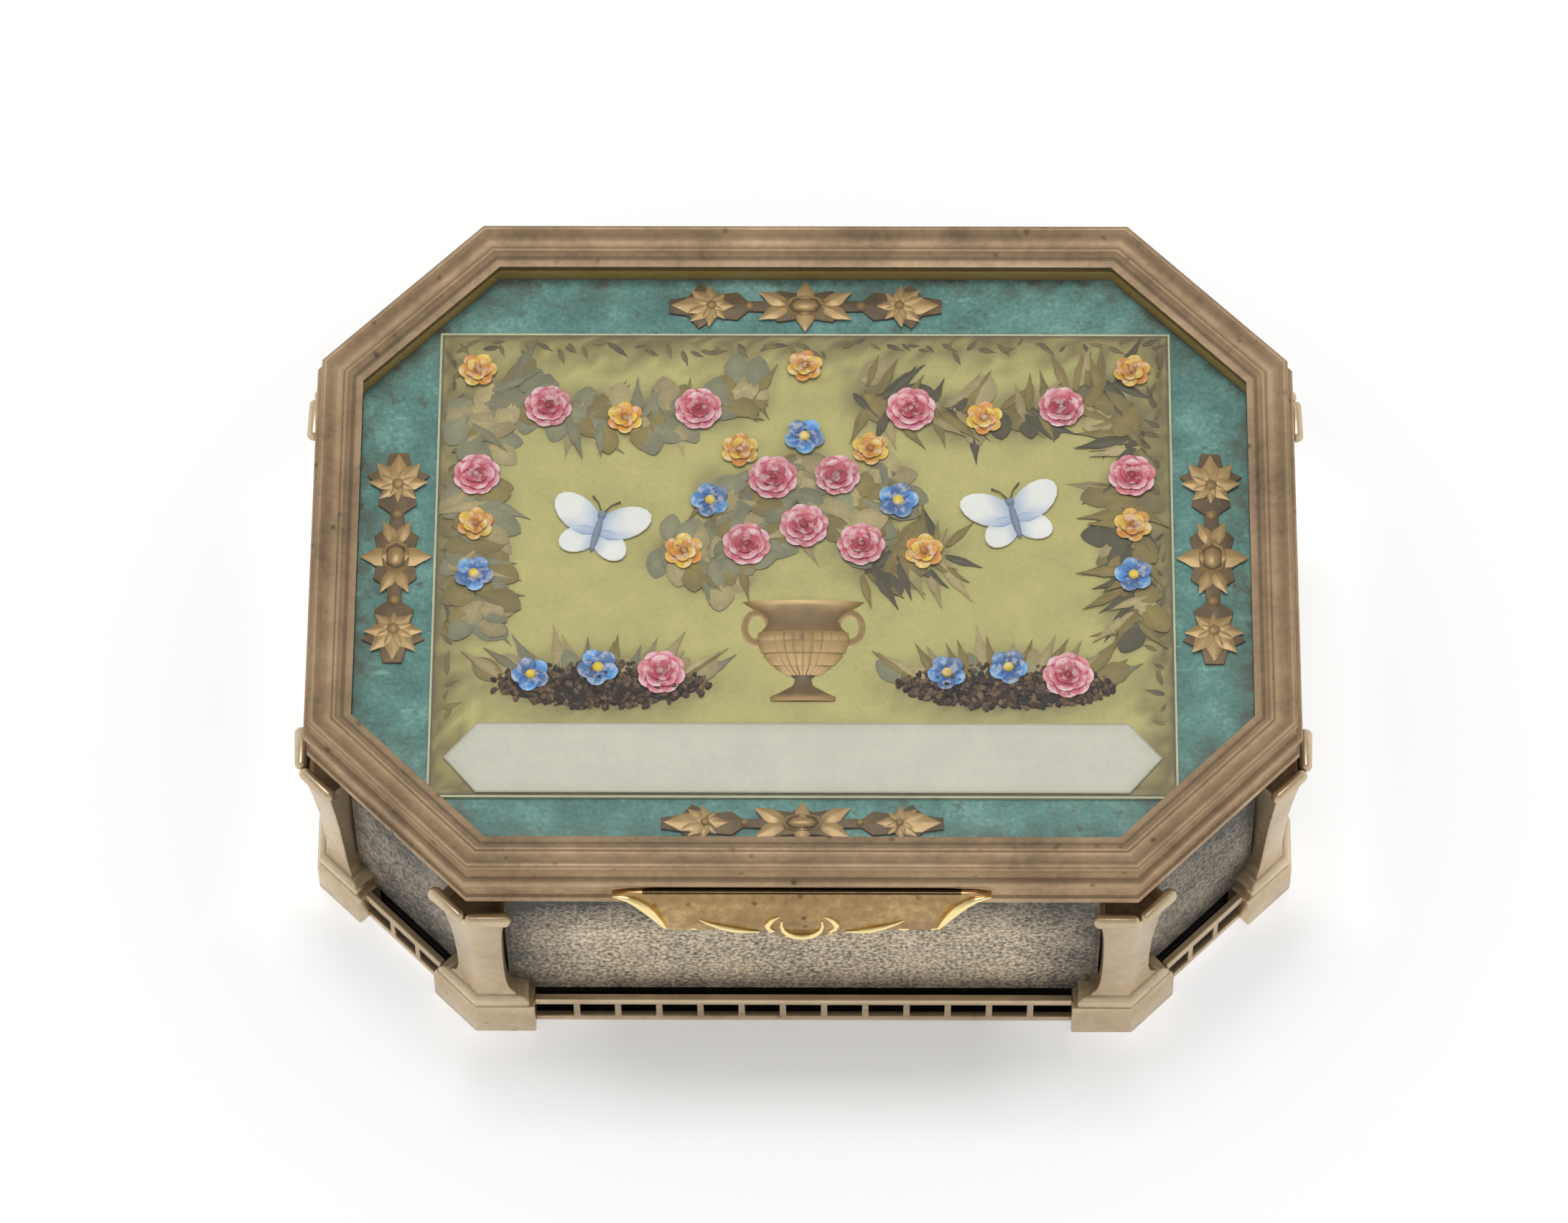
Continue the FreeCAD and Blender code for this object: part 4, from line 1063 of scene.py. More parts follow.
class CASKET_OT_thumb_piece(bpy.types.Operator):
    """Scrolled lip on the lid's front"""
    bl_idname = "casket.thumb_piece"
    bl_label = "Thumb-piece"

    # Rods of the relief, on both halves: place across and above the lid's seam, and radius, in millimetres
    RELIEF = (
        ((0.0, -2.52, 0.28), (0.70, -2.38, 0.28), (1.30, -2.00, 0.25), (1.70, -1.42, 0.20), (1.86, -0.7, 0.15),
         (1.80, -0.10, 0.07)),
        ((2.05, 0.45, 0.07), (2.65, 0.12, 0.20), (3.10, -0.50, 0.30), (3.00, -1.10, 0.26), (2.50, -1.58, 0.10)),
        ((3.9, -1.66, 0.06), (5.0, -1.52, 0.20), (6.2, -1.24, 0.28), (7.4, -0.84, 0.24), (8.4, -0.40, 0.15),
         (9.2, 0.05, 0.05)),
        ((12.30, -0.95, 0.16), (12.80, 0.02, 0.32), (13.35, 0.88, 0.44), (14.00, 1.55, 0.48), (14.75, 2.05, 0.42),
         (15.6, 2.38, 0.30), (16.4, 2.51, 0.18), (16.95, 2.56, 0.07)))
    # Radius of the rolled rim, in millimetres
    RIM_RADIUS = 0.13
    # Share of its radius by which the middle of a rod stands before the sheet
    RELIEF_STAND = 0.3
    # Depth of the painted shadow below the top, in millimetres, the share of the width that it covers, and its
    # darkness
    SOOT_DEPTH, SOOT_SHARE, SOOT = 0.17, 0.84, 0.9
    # Spacing at which the lower edge is read, in millimetres
    EDGE_STEP = 0.02
    # Share of its reach that the sheet keeps, so that its relief ends where the CAD piece does
    SHEET_REACH = 0.84

    def execute(self, context):
        sheet = node_copy("thumb_piece", "thumb_sheet")
        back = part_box("thumb_piece")[1].y
        for vert in sheet.data.vertices:
            vert.co.y = back + self.SHEET_REACH * (vert.co.y - back)
        edge = self.lower_edge(sheet)
        surface = BVHTree.FromPolygons([vert.co for vert in sheet.data.vertices],
                                       [face.vertices for face in sheet.data.polygons])
        soften(sheet, 1.5 * settings().gilding.edge_round)
        self.blacken_top(sheet)
        mark_hollows(sheet, gain=0.2, level=0.47)
        rods = [self.rim(edge)]
        for line in self.RELIEF:
            for side in (-1, 1):
                rods.append(self.relief(surface, line, side))
        # The rods sit near the rubbed tone all over: rubbed gilding, and a painted highlight on the scrolls
        for part in rods:
            mark_hollows(part, gain=0.4, level=0.85)
        piece = join([sheet] + rods, "thumb_lip")
        smooth(piece)
        finish_piece(piece, "lid", "thumb_gilt", thumb_gilt(), "thumb_piece")
        return {"FINISHED"}

    def lower_edge(self, sheet):
        """The sheet's lower outer edge, from the left end to the right."""
        lowest = {}
        for vert in sheet.data.vertices:
            key = round(vert.co.x / (self.EDGE_STEP * MM))
            if key not in lowest or (round(vert.co.z, 7), vert.co.y) < (round(lowest[key].z, 7), lowest[key].y):
                lowest[key] = vert.co.copy()
        return [lowest[key] for key in sorted(lowest)]

    def blacken_top(self, sheet):
        """Stores a painted shadow along the top, where the lid's bead shades it."""
        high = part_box("thumb_piece")[1]
        top, end = high.z - self.SOOT_DEPTH * MM, self.SOOT_SHARE * high.x
        edit(sheet)
        cut((0, 0, top), (0, 0, 1))
        for x in (-end, end):
            cut((x, 0, 0), (1, 0, 0))
        leave()
        values = [self.SOOT if face.center.z > top and abs(face.center.x) < end else 0.0
                  for face in sheet.data.polygons]
        store(sheet, "soot", "FACE", values)

    def rim(self, edge):
        """A rolled rim along the lower edge, between the crescents."""
        radius = self.RIM_RADIUS * MM
        end = self.RELIEF[-1][0][0] * MM
        path = [(point.x, point.y + 0.5 * radius, point.z + 0.5 * radius) for point in edge if abs(point.x) < end]
        return rod("thumb_rim", path, [radius] * len(path))

    def relief(self, surface, line, side):
        """One rod of the relief, partly sunk in the sheet."""
        seam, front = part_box("lid_frame")[0].z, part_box("thumb_piece")[0].y
        path = []
        for across, above, radius in line:
            start = Vector((side * across * MM, front, seam + above * MM))
            place = surface.ray_cast(start, Vector((0, 1, 0)))[0] or surface.find_nearest(start)[0]
            path.append(place - Vector((0, self.RELIEF_STAND * radius * MM, 0)))
        return rod("thumb_relief", path, [radius * MM for _, _, radius in line])


class CASKET_OT_hinge(bpy.types.Operator):
    """Knuckles and pin of the back hinge"""
    bl_idname = "casket.hinge"
    bl_label = "Hinge"

    def execute(self, context):
        g = settings().gilding
        steel = gilding("pin_steel_finish", g.steel_dark, g.steel_mid, g.steel_bright)
        for node, body, slot, material in (("case_hinge_knuckles", "case", "lid_gilt", lid_gilt()),
                                           ("lid_hinge_knuckles", "lid", "lid_gilt", lid_gilt()),
                                           ("hinge_pin", "case", "pin_steel", steel)):
            piece = node_copy(node, node + "_turned")
            soften(piece, g.edge_round)
            mark_hollows(piece)
            finish_piece(piece, body, slot, material, node)
        return {"FINISHED"}


class CASKET_OT_glazing(bpy.types.Operator):
    """Glass pane and the gilt slip that carries it"""
    bl_idname = "casket.glazing"
    bl_label = "Glazing"

    def execute(self, context):
        g = settings().gilding
        dress_node("glass_pane", clear_glass())
        piece = node_copy("glass_slip", "glass_slip_strip")
        soften(piece, g.edge_round)
        mark_hollows(piece)
        slip = gilding("slip_gilt_finish", g.slip_dark, g.slip_mid, g.inner_mid, metal=0.3)
        finish_piece(piece, "lid", "slip_gilt", slip, "glass_slip")
        return {"FINISHED"}


class CASKET_OT_card_and_strip(bpy.types.Operator):
    """Teal mount, olive card with its pale edge, and the bare paper strip"""
    bl_idname = "casket.card_and_strip"
    bl_label = "Card and strip"

    # The card's mesh, and the widths of the dark line and of the worn edge inside its border, in millimetres
    CARD_CELLS = (68, 48)
    LINE_WIDTH, WORN_WIDTH = 0.05, 0.30
    # How far the painted shadow wash spreads past the leaves, and the browned edge into the card, in millimetres
    WASH_REACH, BROWN_REACH = 1.6, 4.5
    # Bands of the strip's mesh along its edge, and how far the stain reaches in, in millimetres
    STRIP_BANDS, STAIN_REACH = (0.25, 0.9), 0.3

    def execute(self, context):
        dress_node("picture_mount", teal_paper())
        self.card()
        self.strip()
        return {"FINISHED"}

    def card(self):
        c = settings().collage
        low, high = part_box("picture_card")
        middle = (low + high) / 2
        start_clean()
        across, along = self.CARD_CELLS
        bpy.ops.mesh.primitive_grid_add(x_subdivisions=across, y_subdivisions=along, size=1.0)
        piece = new_piece("olive_card_sheet")
        edit(piece)
        pick_all()
        resize(high.x - low.x, high.y - low.y, 1.0)
        move(middle.x, middle.y, high.z)
        for band in (c.border_width, self.LINE_WIDTH * MM, self.WORN_WIDTH * MM):
            bpy.ops.mesh.inset(thickness=band)
        close_back(piece, z=low.z - high.z)
        leave()
        chance = random.Random(SEED)
        sprays = solids_of("foliage_sprays") + solids_of("moss_mounds")

        # Painted shadow: the card darkens round each spray and mound
        def shaded(place):
            most, reach = 0.0, self.WASH_REACH * MM
            for spray, angle, half_length, half_width in sprays:
                away = place.xy - spray
                along = (away.x * math.cos(angle) + away.y * math.sin(angle)) / (half_length + reach)
                across = (away.y * math.cos(angle) - away.x * math.sin(angle)) / (half_width + reach)
                most = max(most, 1.7 - 1.4 * math.hypot(along, across))
            return most * chance.uniform(0.5, 1.0)

        def choose(place):
            inside = min(place.x - low.x, high.x - place.x, place.y - low.y, high.y - place.y)
            if inside < c.border_width + 0.01 * MM:
                return c.border
            if inside < c.border_width + 0.10 * MM:
                return c.leaf_dark
            worn = (inside - c.border_width) / (self.BROWN_REACH * MM) + chance.uniform(-0.35, 0.35)
            return between(between(c.ground_edge, c.ground, worn), c.ground_wash, shaded(place))

        paint(piece, choose)
        finish_piece(piece, "lid", "olive_card", painted("olive_card_finish", mottle=0.22), "picture_card")

    def strip(self):
        c = settings().collage
        piece = node_copy("caption_strip", "bare_paper_strip")
        low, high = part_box("caption_strip")
        edit(piece)
        pick(piece, "FACE", lambda face: face.normal.z > 0.9)
        for band in self.STRIP_BANDS:
            bpy.ops.mesh.inset(thickness=band * MM)
        leave()

        def choose(place):
            if place.z <= high.z - WELD:
                return c.strip_stain
            inside = min(place.y - low.y, high.y - place.y, (high.x - abs(place.x)) * 0.7)
            return between(c.strip_stain, c.strip, inside / (self.STAIN_REACH * MM))

        paint(piece, choose)
        finish_piece(piece, "lid", "cream_paper", painted("cream_paper_finish", mottle=0.12), "caption_strip")


class CASKET_OT_ornaments(bpy.types.Operator):
    """Embossed gilt paper sprays on the mount's four long sides"""
    bl_idname = "casket.ornaments"
    bl_label = "Mount ornaments"

    # Heading of each leaf of a burst in degrees, and its reach as a share of the sheet's length, or of its width
    # where it stands aslant
    BURST = ((0, 0.155), (42, 0.56), (-42, 0.56), (85, 0.50), (-85, 0.50), (132, 0.42), (-132, 0.42), (180, 0.09))
    # How far each burst's heart and each bud lie from the middle, as shares of the sheet's length
    HEART_AWAY, BUD_AWAY = 0.345, 0.205
    # How far the spray is sunk in its sheet and the sheet's edges are rounded, in millimetres
    SPRAY_SINK, SHEET_ROUND = 0.08, 0.06

    def execute(self, context):
        for side, turn in (("front", 0.0), ("right", math.pi / 2), ("back", math.pi), ("left", -math.pi / 2)):
            node = side + "_ornament"
            low, high = turned_box(node, turn)
            spray = self.spray(high.x - low.x, high.y - low.y)
            middle = (low + high) / 2
            top = high.z - self.SPRAY_SINK * MM
            spray.data.transform(Matrix.Rotation(turn, 4, "Z") @ Matrix.Translation((middle.x, middle.y, top)))
            mark_hollows(spray, gain=2.4)
            sheet = node_copy(node, node + "_sheet")
            soften(sheet, self.SHEET_ROUND * MM)
            mark_hollows(sheet, gain=1.2, level=0.30)
            piece = join([sheet, spray], node + "_embossed")
            smooth(piece, 50.0)
            finish_piece(piece, "lid", "gilt_paper", gilt_paper(), node)
        return {"FINISHED"}

    def spray(self, along, across):
        """Two bursts of leaves, a lozenge between them and buds in the gaps, on a ground of height 0."""
        leaf = leaf_shape("gilt_leaf", width=0.56, fold=0.10, point=0.10)
        boss = dome("gilt_boss", 1.0, 1.0, sides=10)
        lozenge = dish("gilt_lozenge", 8, ((0.14, 0.5), (0.16, -0.3), (0.22, 0.6)))
        parts = []
        for side in (-1, 1):
            heart = side * self.HEART_AWAY * along
            way = 0.0 if side > 0 else math.pi
            for turn, reach in self.BURST:
                size = reach * (along if turn in (0, 180) else across)
                parts.append(stamp(leaf, spot(heart, 0, 0.10 * MM, way + math.radians(turn), 0.03,
                                              (0.86 * size, 0.86 * size, 1.8 * MM))))
                parts.append(stamp(leaf, spot(heart, 0, 0.17 * MM, way + math.radians(turn + 21), 0.05,
                                              (0.55 * size, 0.55 * size, 1.6 * MM))))
            parts.append(stamp(boss, spot(heart, 0, 0.0, 0, 0, (0.13 * across, 0.13 * across, 0.5 * MM))))
            parts.append(stamp(boss, spot(side * self.BUD_AWAY * along, 0, 0, 0, 0,
                                          (0.10 * across, 0.10 * across, 0.4 * MM))))
            for turn in (-28, 28):
                parts.append(stamp(leaf, spot(side * 0.06 * along, 0, 0.1 * MM, way + math.radians(turn), 0.02,
                                              (0.115 * along, 0.1 * along, 1.8 * MM))))
        for turn in (90, -90):
            parts.append(stamp(leaf, spot(0, 0, 0.1 * MM, math.radians(turn), 0.0,
                                          (0.52 * across, 0.6 * across, 1.8 * MM))))
        parts.append(stamp(lozenge, spot(0, 0, 0.06 * MM, 0, 0, (0.085 * along, 0.26 * across, 0.42 * MM))))
        discard(leaf, boss, lozenge)
        return join(parts, "gilt_spray")


def inward(x, y, turn, reach):
    """The heading of a leaf, turned back where its tip would stand out over the card's edge."""
    low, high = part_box("picture_card")
    margin = 0.3 * MM
    tip_x, tip_y = x + 1.1 * reach * math.cos(turn), y + 1.1 * reach * math.sin(turn)
    if not low.x + margin < tip_x < high.x - margin:
        turn = math.pi - turn
    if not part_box("caption_strip")[1].y < tip_y < high.y - margin:
        turn = -turn
    return turn


class CASKET_OT_foliage(bpy.types.Operator):
    """Leaf sprays behind the flowers, and the dabs along the card's edge"""
    bl_idname = "casket.foliage"
    bl_label = "Foliage"

    # How a leaf's colour is dimmed towards its edge and lit along its rib
    EDGE_SHADE, RIB_LIGHT = (0.72, 0.72, 0.72, 1.0), (1.12, 1.12, 1.08, 1.0)
    # The share of a spray's length times its width that one leaf takes, in square millimetres
    LEAF_FIELD = 0.25
    # Sprays up to here from the middle have soft grey leaves, in millimetres
    SOFT_TO = 6
    # Spacing of the dabs and their distance from the card's border, in millimetres
    DAB_PITCH, DAB_INSET = 1.05, 0.9
    # Blades behind each mound
    BLADES = 26

    def execute(self, context):
        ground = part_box("picture_card")[1].z
        chance = random.Random(SEED + 1)
        broad = leaf_shape("broad_leaf", width=0.74, fold=0.02, point=0.03)
        narrow = leaf_shape("narrow_leaf", width=0.24, fold=0.02)
        for template in (broad, narrow):
            paint(template, lambda place: between(self.EDGE_SHADE, self.RIB_LIGHT, place.z * 35 + 0.35))
        leaves = []
        for middle, angle, half_length, half_width in solids_of("foliage_sprays"):
            leaves += self.spray(chance, broad, narrow, middle, angle, half_length, half_width, ground)
        leaves += self.border(chance, narrow, ground)
        leaves += self.grasses(chance, broad, narrow, ground)
        discard(broad, narrow)
        piece = join(leaves, "foliage_leaves")
        finish_piece(piece, "lid", "leaf_paper", painted("leaf_paper_finish", mottle=0.35), "foliage_sprays")
        return {"FINISHED"}

    def spray(self, chance, broad, narrow, middle, angle, half_length, half_width, ground):
        """Leaves set along one spray, leaning out to both sides."""
        c = settings().collage
        count = max(9, round(half_length * half_width / (self.LEAF_FIELD * MM * MM)))
        soft = middle.x < self.SOFT_TO * MM
        leaves = []
        for number in range(count):
            along = -0.95 + 1.9 * number / (count - 1)
            across = chance.uniform(-0.8, 0.8)
            x, y = on_solid(middle, angle, along * half_length, across * half_width)
            side = 1 if number % 2 else -1
            turn = angle + side * math.radians(chance.uniform(25, 95))
            template = broad if chance.random() < (0.8 if soft else 0.25) else narrow
            size = chance.uniform(2.5, 3.7) * MM if template is broad else chance.uniform(3.2, 4.8) * MM
            turn = inward(x, y, turn, size)
            leaf = stamp(template, spot(x, y, ground + chance.uniform(0.03, 0.13) * MM, turn,
                                        math.radians(chance.uniform(-0.5, 2.2)), (size, size, size)))
            hues = (c.leaf_grey, c.leaf_grey, c.leaf_beige, c.leaf_olive) if soft else (
                c.leaf_olive, c.leaf_olive, c.leaf_beige, c.leaf_dark)
            dye(leaf, between(chance.choice(hues), c.leaf_dark, chance.uniform(0.0, 0.35)))
            leaves.append(leaf)
        return leaves

    def grasses(self, chance, broad, narrow, ground):
        """Blades that fan out behind each mound, every third one a broader leaf."""
        c = settings().collage
        leaves = []
        for middle, angle, half_length, half_width in solids_of("moss_mounds"):
            for number in range(self.BLADES):
                along = -1.0 + 2.0 * number / (self.BLADES - 1)
                turn = angle + math.radians(90 - 62 * along + chance.uniform(-14, 14))
                x = middle.x + 0.92 * along * half_length * math.cos(angle)
                y = middle.y + 0.92 * along * half_length * math.sin(angle) + 0.3 * half_width
                template = narrow if number % 3 else broad
                size = chance.uniform(3.0, 5.2) * MM * (0.62 if template is broad else 1.0)
                leaf = stamp(template, spot(x, y, ground + chance.uniform(0.03, 0.12) * MM, inward(x, y, turn, size),
                                            math.radians(1), (size, size, size)))
                dye(leaf, between(chance.choice((c.leaf_olive, c.leaf_grey, c.leaf_beige)), c.leaf_dark,
                                  chance.uniform(0.0, 0.4)))
                leaves.append(leaf)
        return leaves

    def border(self, chance, narrow, ground):
        """Short dark dabs all along the card's edge."""
        c = settings().collage
        low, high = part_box("picture_card")
        inset = c.border_width + self.DAB_INSET * MM
        strip_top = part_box("caption_strip")[1].y
        leaves = []
        pitch = self.DAB_PITCH * MM
        runs = [((low.x + inset, high.y - inset), (high.x - inset, high.y - inset)),
                ((low.x + inset, strip_top), (low.x + inset, high.y - inset)),
                ((high.x - inset, strip_top), (high.x - inset, high.y - inset))]
        for first, last in runs:
            span = Vector(last) - Vector(first)
            for number in range(round(span.length / pitch)):
                place = Vector(first) + span * ((number + chance.random()) * pitch / span.length)
                heading = math.atan2(span.y, span.x) + math.radians(chance.uniform(-75, 75))
                size = chance.uniform(0.9, 1.7) * MM
                shift = chance.uniform(-0.4, 0.9) * MM
                x = min(high.x - inset, max(low.x + inset, place.x - math.copysign(shift, place.x)))
                y = min(high.y - inset, place.y - (shift if span.x else 0.0))
                heading = inward(x, y, heading, size)
                leaf = stamp(narrow, spot(x, y, ground + 0.05 * MM, heading, 0.0, (size, 1.4 * size, size)))
                dye(leaf, between(c.leaf_dark, c.leaf_olive, chance.uniform(0.0, 0.7)))
                leaves.append(leaf)
        return leaves


class CASKET_OT_moss(bpy.types.Operator):
    """Two crumbly mounds"""
    bl_idname = "casket.moss"
    bl_label = "Moss mounds"

    # Crumbs on each mound
    CRUMBS = 520

    def execute(self, context):
        c = settings().collage
        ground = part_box("picture_card")[1].z
        chance = random.Random(SEED + 2)
        start_clean()
        bpy.ops.mesh.primitive_ico_sphere_add(subdivisions=1, radius=1.0)
        crumb = new_piece("moss_crumb")
        edit(crumb)
        pick_all()
        bpy.ops.transform.vertex_random(offset=0.22, seed=SEED)
        leave()
        paint(crumb, lambda place: (1.0, 1.0, 1.0, 1.0))
        crumbs = []
        for middle, angle, half_length, half_width in solids_of("moss_mounds"):
            bed = dome("moss_bed", 1.0, 1.0, sides=20)
            bed.data.transform(spot(middle.x, middle.y, ground, angle, 0.0,
                                    (0.92 * half_length, 0.86 * half_width, 0.16 * MM)))
            paint(bed, lambda place: c.moss_dark)
            crumbs.append(bed)
            for _ in range(self.CRUMBS):
                out = math.sqrt(chance.random())
                way = chance.uniform(0, 2 * math.pi)
                along, across = out * math.cos(way) * half_length, out * math.sin(way) * half_width
                x, y = on_solid(middle, angle, along, across)
                size = chance.uniform(0.18, 0.36) * MM
                z = ground + 0.04 * MM + chance.random() * 0.14 * MM * (1 - out * out)
                one = stamp(crumb, spot(x, y, z, chance.uniform(0, 6.3), chance.uniform(-0.7, 0.7),
                                        (size * 1.5, size, size * 0.8)))
                dye(one, between(c.moss_dark, c.moss_light, chance.random() ** 2))
                crumbs.append(one)
        discard(crumb)
        piece = join(crumbs, "moss_crumbs")
        paper = painted("moss_paper_finish", mottle=0.4, roughness=0.8)
        finish_piece(piece, "lid", "moss_paper", paper, "moss_mounds")
        return {"FINISHED"}


class CASKET_OT_flowers(bpy.types.Operator):
    """Roses, blue flowers and yellow flowers"""
    bl_idname = "casket.flowers"
    bl_label = "Flowers"

    # How much darker the darkest petals of a ring are than its palest
    SHADE_SPREAD = 0.45
    # How far above its scrap's underside a flower starts, and how tall it is, in millimetres
    FLOWER_LIFT, FLOWER_RISE = 0.14, 0.62

    def execute(self, context):
        c = settings().collage
        rose = ((c.rose, c.rose, c.rose_pale), (c.rose_deep, c.rose, c.rose_pale),
                (c.rose_deep, between(c.rose_deep, c.rose, 0.4), c.rose))
        blue = (c.blue_deep, c.blue, c.blue_pale)
        yellow = (c.yellow_deep, c.yellow, c.yellow_pale)
        # For each ring: petals, their size, distance, height, lean and colours from the heart outward; then the
        # heart's radius, rise and colour
        kinds = (
            ("rose", ((8, 0.46, 0.55, 0.18, 0.06, rose[0]), (5, 0.44, 0.32, 0.36, 0.16, rose[1]),
                      (3, 0.34, 0.14, 0.52, 0.28, rose[2])), 0.15, 0.18, c.rose_deep),
            ("blue_flower", ((5, 0.46, 0.52, 0.25, 0.12, blue),), 0.27, 0.45, c.blue_heart),
            ("yellow_flower", ((6, 0.40, 0.58, 0.20, 0.10, yellow), (5, 0.34, 0.30, 0.45, 0.25, yellow)),
             0.22, 0.3, c.yellow_deep))
        for number, (kind, rings, heart_radius, heart_rise, heart_colour) in enumerate(kinds):
            template = self.flower(kind, rings, heart_radius, heart_rise, heart_colour)
            self.plant(number, kind, template)
        return {"FINISHED"}

    def flower(self, kind, rings, heart_radius, heart_rise, heart_colour):
        """One flower of radius 1; its petals differ in shade, as painted ones do."""
        parts = []
        for number, (count, size, distance, height, lean, (deep, mid, pale)) in enumerate(rings):
            petal = dish("petal", 12, ((0.22, -0.10), (0.40, -0.22)))
            apply(petal, "SOLIDIFY", thickness=0.10, offset=-1.0)
            paint(petal, lambda place: between(between(deep, mid, place.x * 1.1 + 0.75), pale, place.x * 1.5 - 0.55))
            for step in range(count):
                turn = 2 * math.pi * (step + 0.4 * number) / count
                part = stamp(petal, Matrix.Rotation(turn, 4, "Z") @ spot(distance, 0, height + 0.03 * (step % 2), 0.2,
                                                                        lean, (size, size, 0.8 * size)))
                shade = 1.0 - self.SHADE_SPREAD * (step * 2 % 3) / 2
                dye(part, (1.0 - 0.3 * (1 - shade), shade, shade, 1.0))
                parts.append(part)
            discard(petal)
        heart = dome("heart", heart_radius, heart_rise)
        top = max(ring[3] for ring in rings)
        heart.data.transform(Matrix.Translation((0, 0, top)))
        paint(heart, lambda place: heart_colour)
        return join(parts + [heart], kind + "_template")

    def plant(self, number, kind, template):
        """Sets a copy of the flower on each disc of the CAD node."""
        node = kind + "_scraps"
        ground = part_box(node)[0].z + self.FLOWER_LIFT * MM
        chance = random.Random(SEED + 10 + number)
        copies = []
        for middle, _, radius, _ in solids_of(node):
            size = radius * chance.uniform(0.94, 1.04)
            copy = stamp(template, spot(middle.x, middle.y, ground, chance.uniform(0, 6.3), 0.0,
                                        (size, size, self.FLOWER_RISE * MM)))
            shade = chance.uniform(0.90, 1.05)
            dye(copy, (shade, shade, shade, 1.0))
            copies.append(copy)
        discard(template)
        piece = join(copies, kind + "_petals")
        smooth(piece, 50.0)
        slot = kind.split("_")[0] + "_paper"
        paper = painted(slot + "_finish", mottle=0.35, roughness=0.5, strokes=0.3)
        finish_piece(piece, "lid", slot, paper, node)


class CASKET_OT_urn(bpy.types.Operator):
    """Gilt vase in half relief"""
    bl_idname = "casket.urn"
    bl_label = "Vase"

    # Radius and height as shares of the vase's half width and height
    OUTLINE = ((0.52, 0.0), (0.52, 0.05), (0.40, 0.08), (0.16, 0.16), (0.13, 0.22), (0.22, 0.27), (0.45, 0.36),
               (0.62, 0.48), (0.70, 0.60), (0.68, 0.70), (0.60, 0.76), (0.56, 0.82), (0.66, 0.89), (0.86, 0.95),
               (0.98, 1.0))
    # Lower and upper end of the lobed belly as shares of the height, and the lobes' edge and rise in millimetres
    BELLY_LOW, BELLY_HIGH = 0.3, 0.7
    LOBE_EDGE, LOBE_RISE = 0.12, 0.25
    # Radius and thickness of the handles' rings and their distance as shares of the half width, their height as a
    # share of the vase's, and how far they are drawn out
    RING_RADIUS, RING_THICK, RING_AWAY, RING_UP, RING_STRETCH = 0.20, 0.055, 0.74, 0.74, 1.35
    # The relief's rise beside the CAD piece's thickness
    RISE = 1.7

    def execute(self, context):
        low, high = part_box("flower_urn")
        half, tall = (high.x - low.x) / 2, high.y - low.y
        body = turned("vase_body", [(radius * half, height * tall) for radius, height in self.OUTLINE])
        edit(body)
        pick(body, "FACE",
             lambda face: self.BELLY_LOW * tall < face.calc_center_median().z < self.BELLY_HIGH * tall)
        bpy.ops.mesh.inset(thickness=self.LOBE_EDGE * MM, depth=self.LOBE_RISE * MM, use_individual=True)
        leave()
        parts = [body]
        for side in (-1, 1):
            start_clean()
            bpy.ops.mesh.primitive_torus_add(major_radius=self.RING_RADIUS * half, major_segments=24,
                                             minor_radius=self.RING_THICK * half, minor_segments=8)
            handle = new_piece("vase_handle")
            handle.data.transform(Matrix.Translation((side * self.RING_AWAY * half, 0, self.RING_UP * tall))
                                  @ Matrix.Rotation(math.pi / 2, 4, "X")
                                  @ Matrix.Diagonal((1.0, self.RING_STRETCH, 1.0, 1.0)))
            parts.append(handle)
        rise = (high.z - low.z) * self.RISE
        laid = (Matrix.Translation(((low.x + high.x) / 2, low.y, low.z))
                @ Matrix.Diagonal((1.0, 1.0, rise / (self.OUTLINE[-1][0] * half), 1.0))
                @ Matrix.Rotation(-math.pi / 2, 4, "X"))
        for part in parts:
            part.data.transform(laid)
            edit(part)
            cut((0, 0, low.z), (0, 0, 1), threshold=WELD, clear_inner=True, use_fill=True)
            face_outward()
            leave()
        piece = join(parts, "vase_relief")
        smooth(piece)
        mark_hollows(piece, gain=2.0)
        finish_piece(piece, "lid", "gilt_paper", gilt_paper(), "flower_urn")
        return {"FINISHED"}


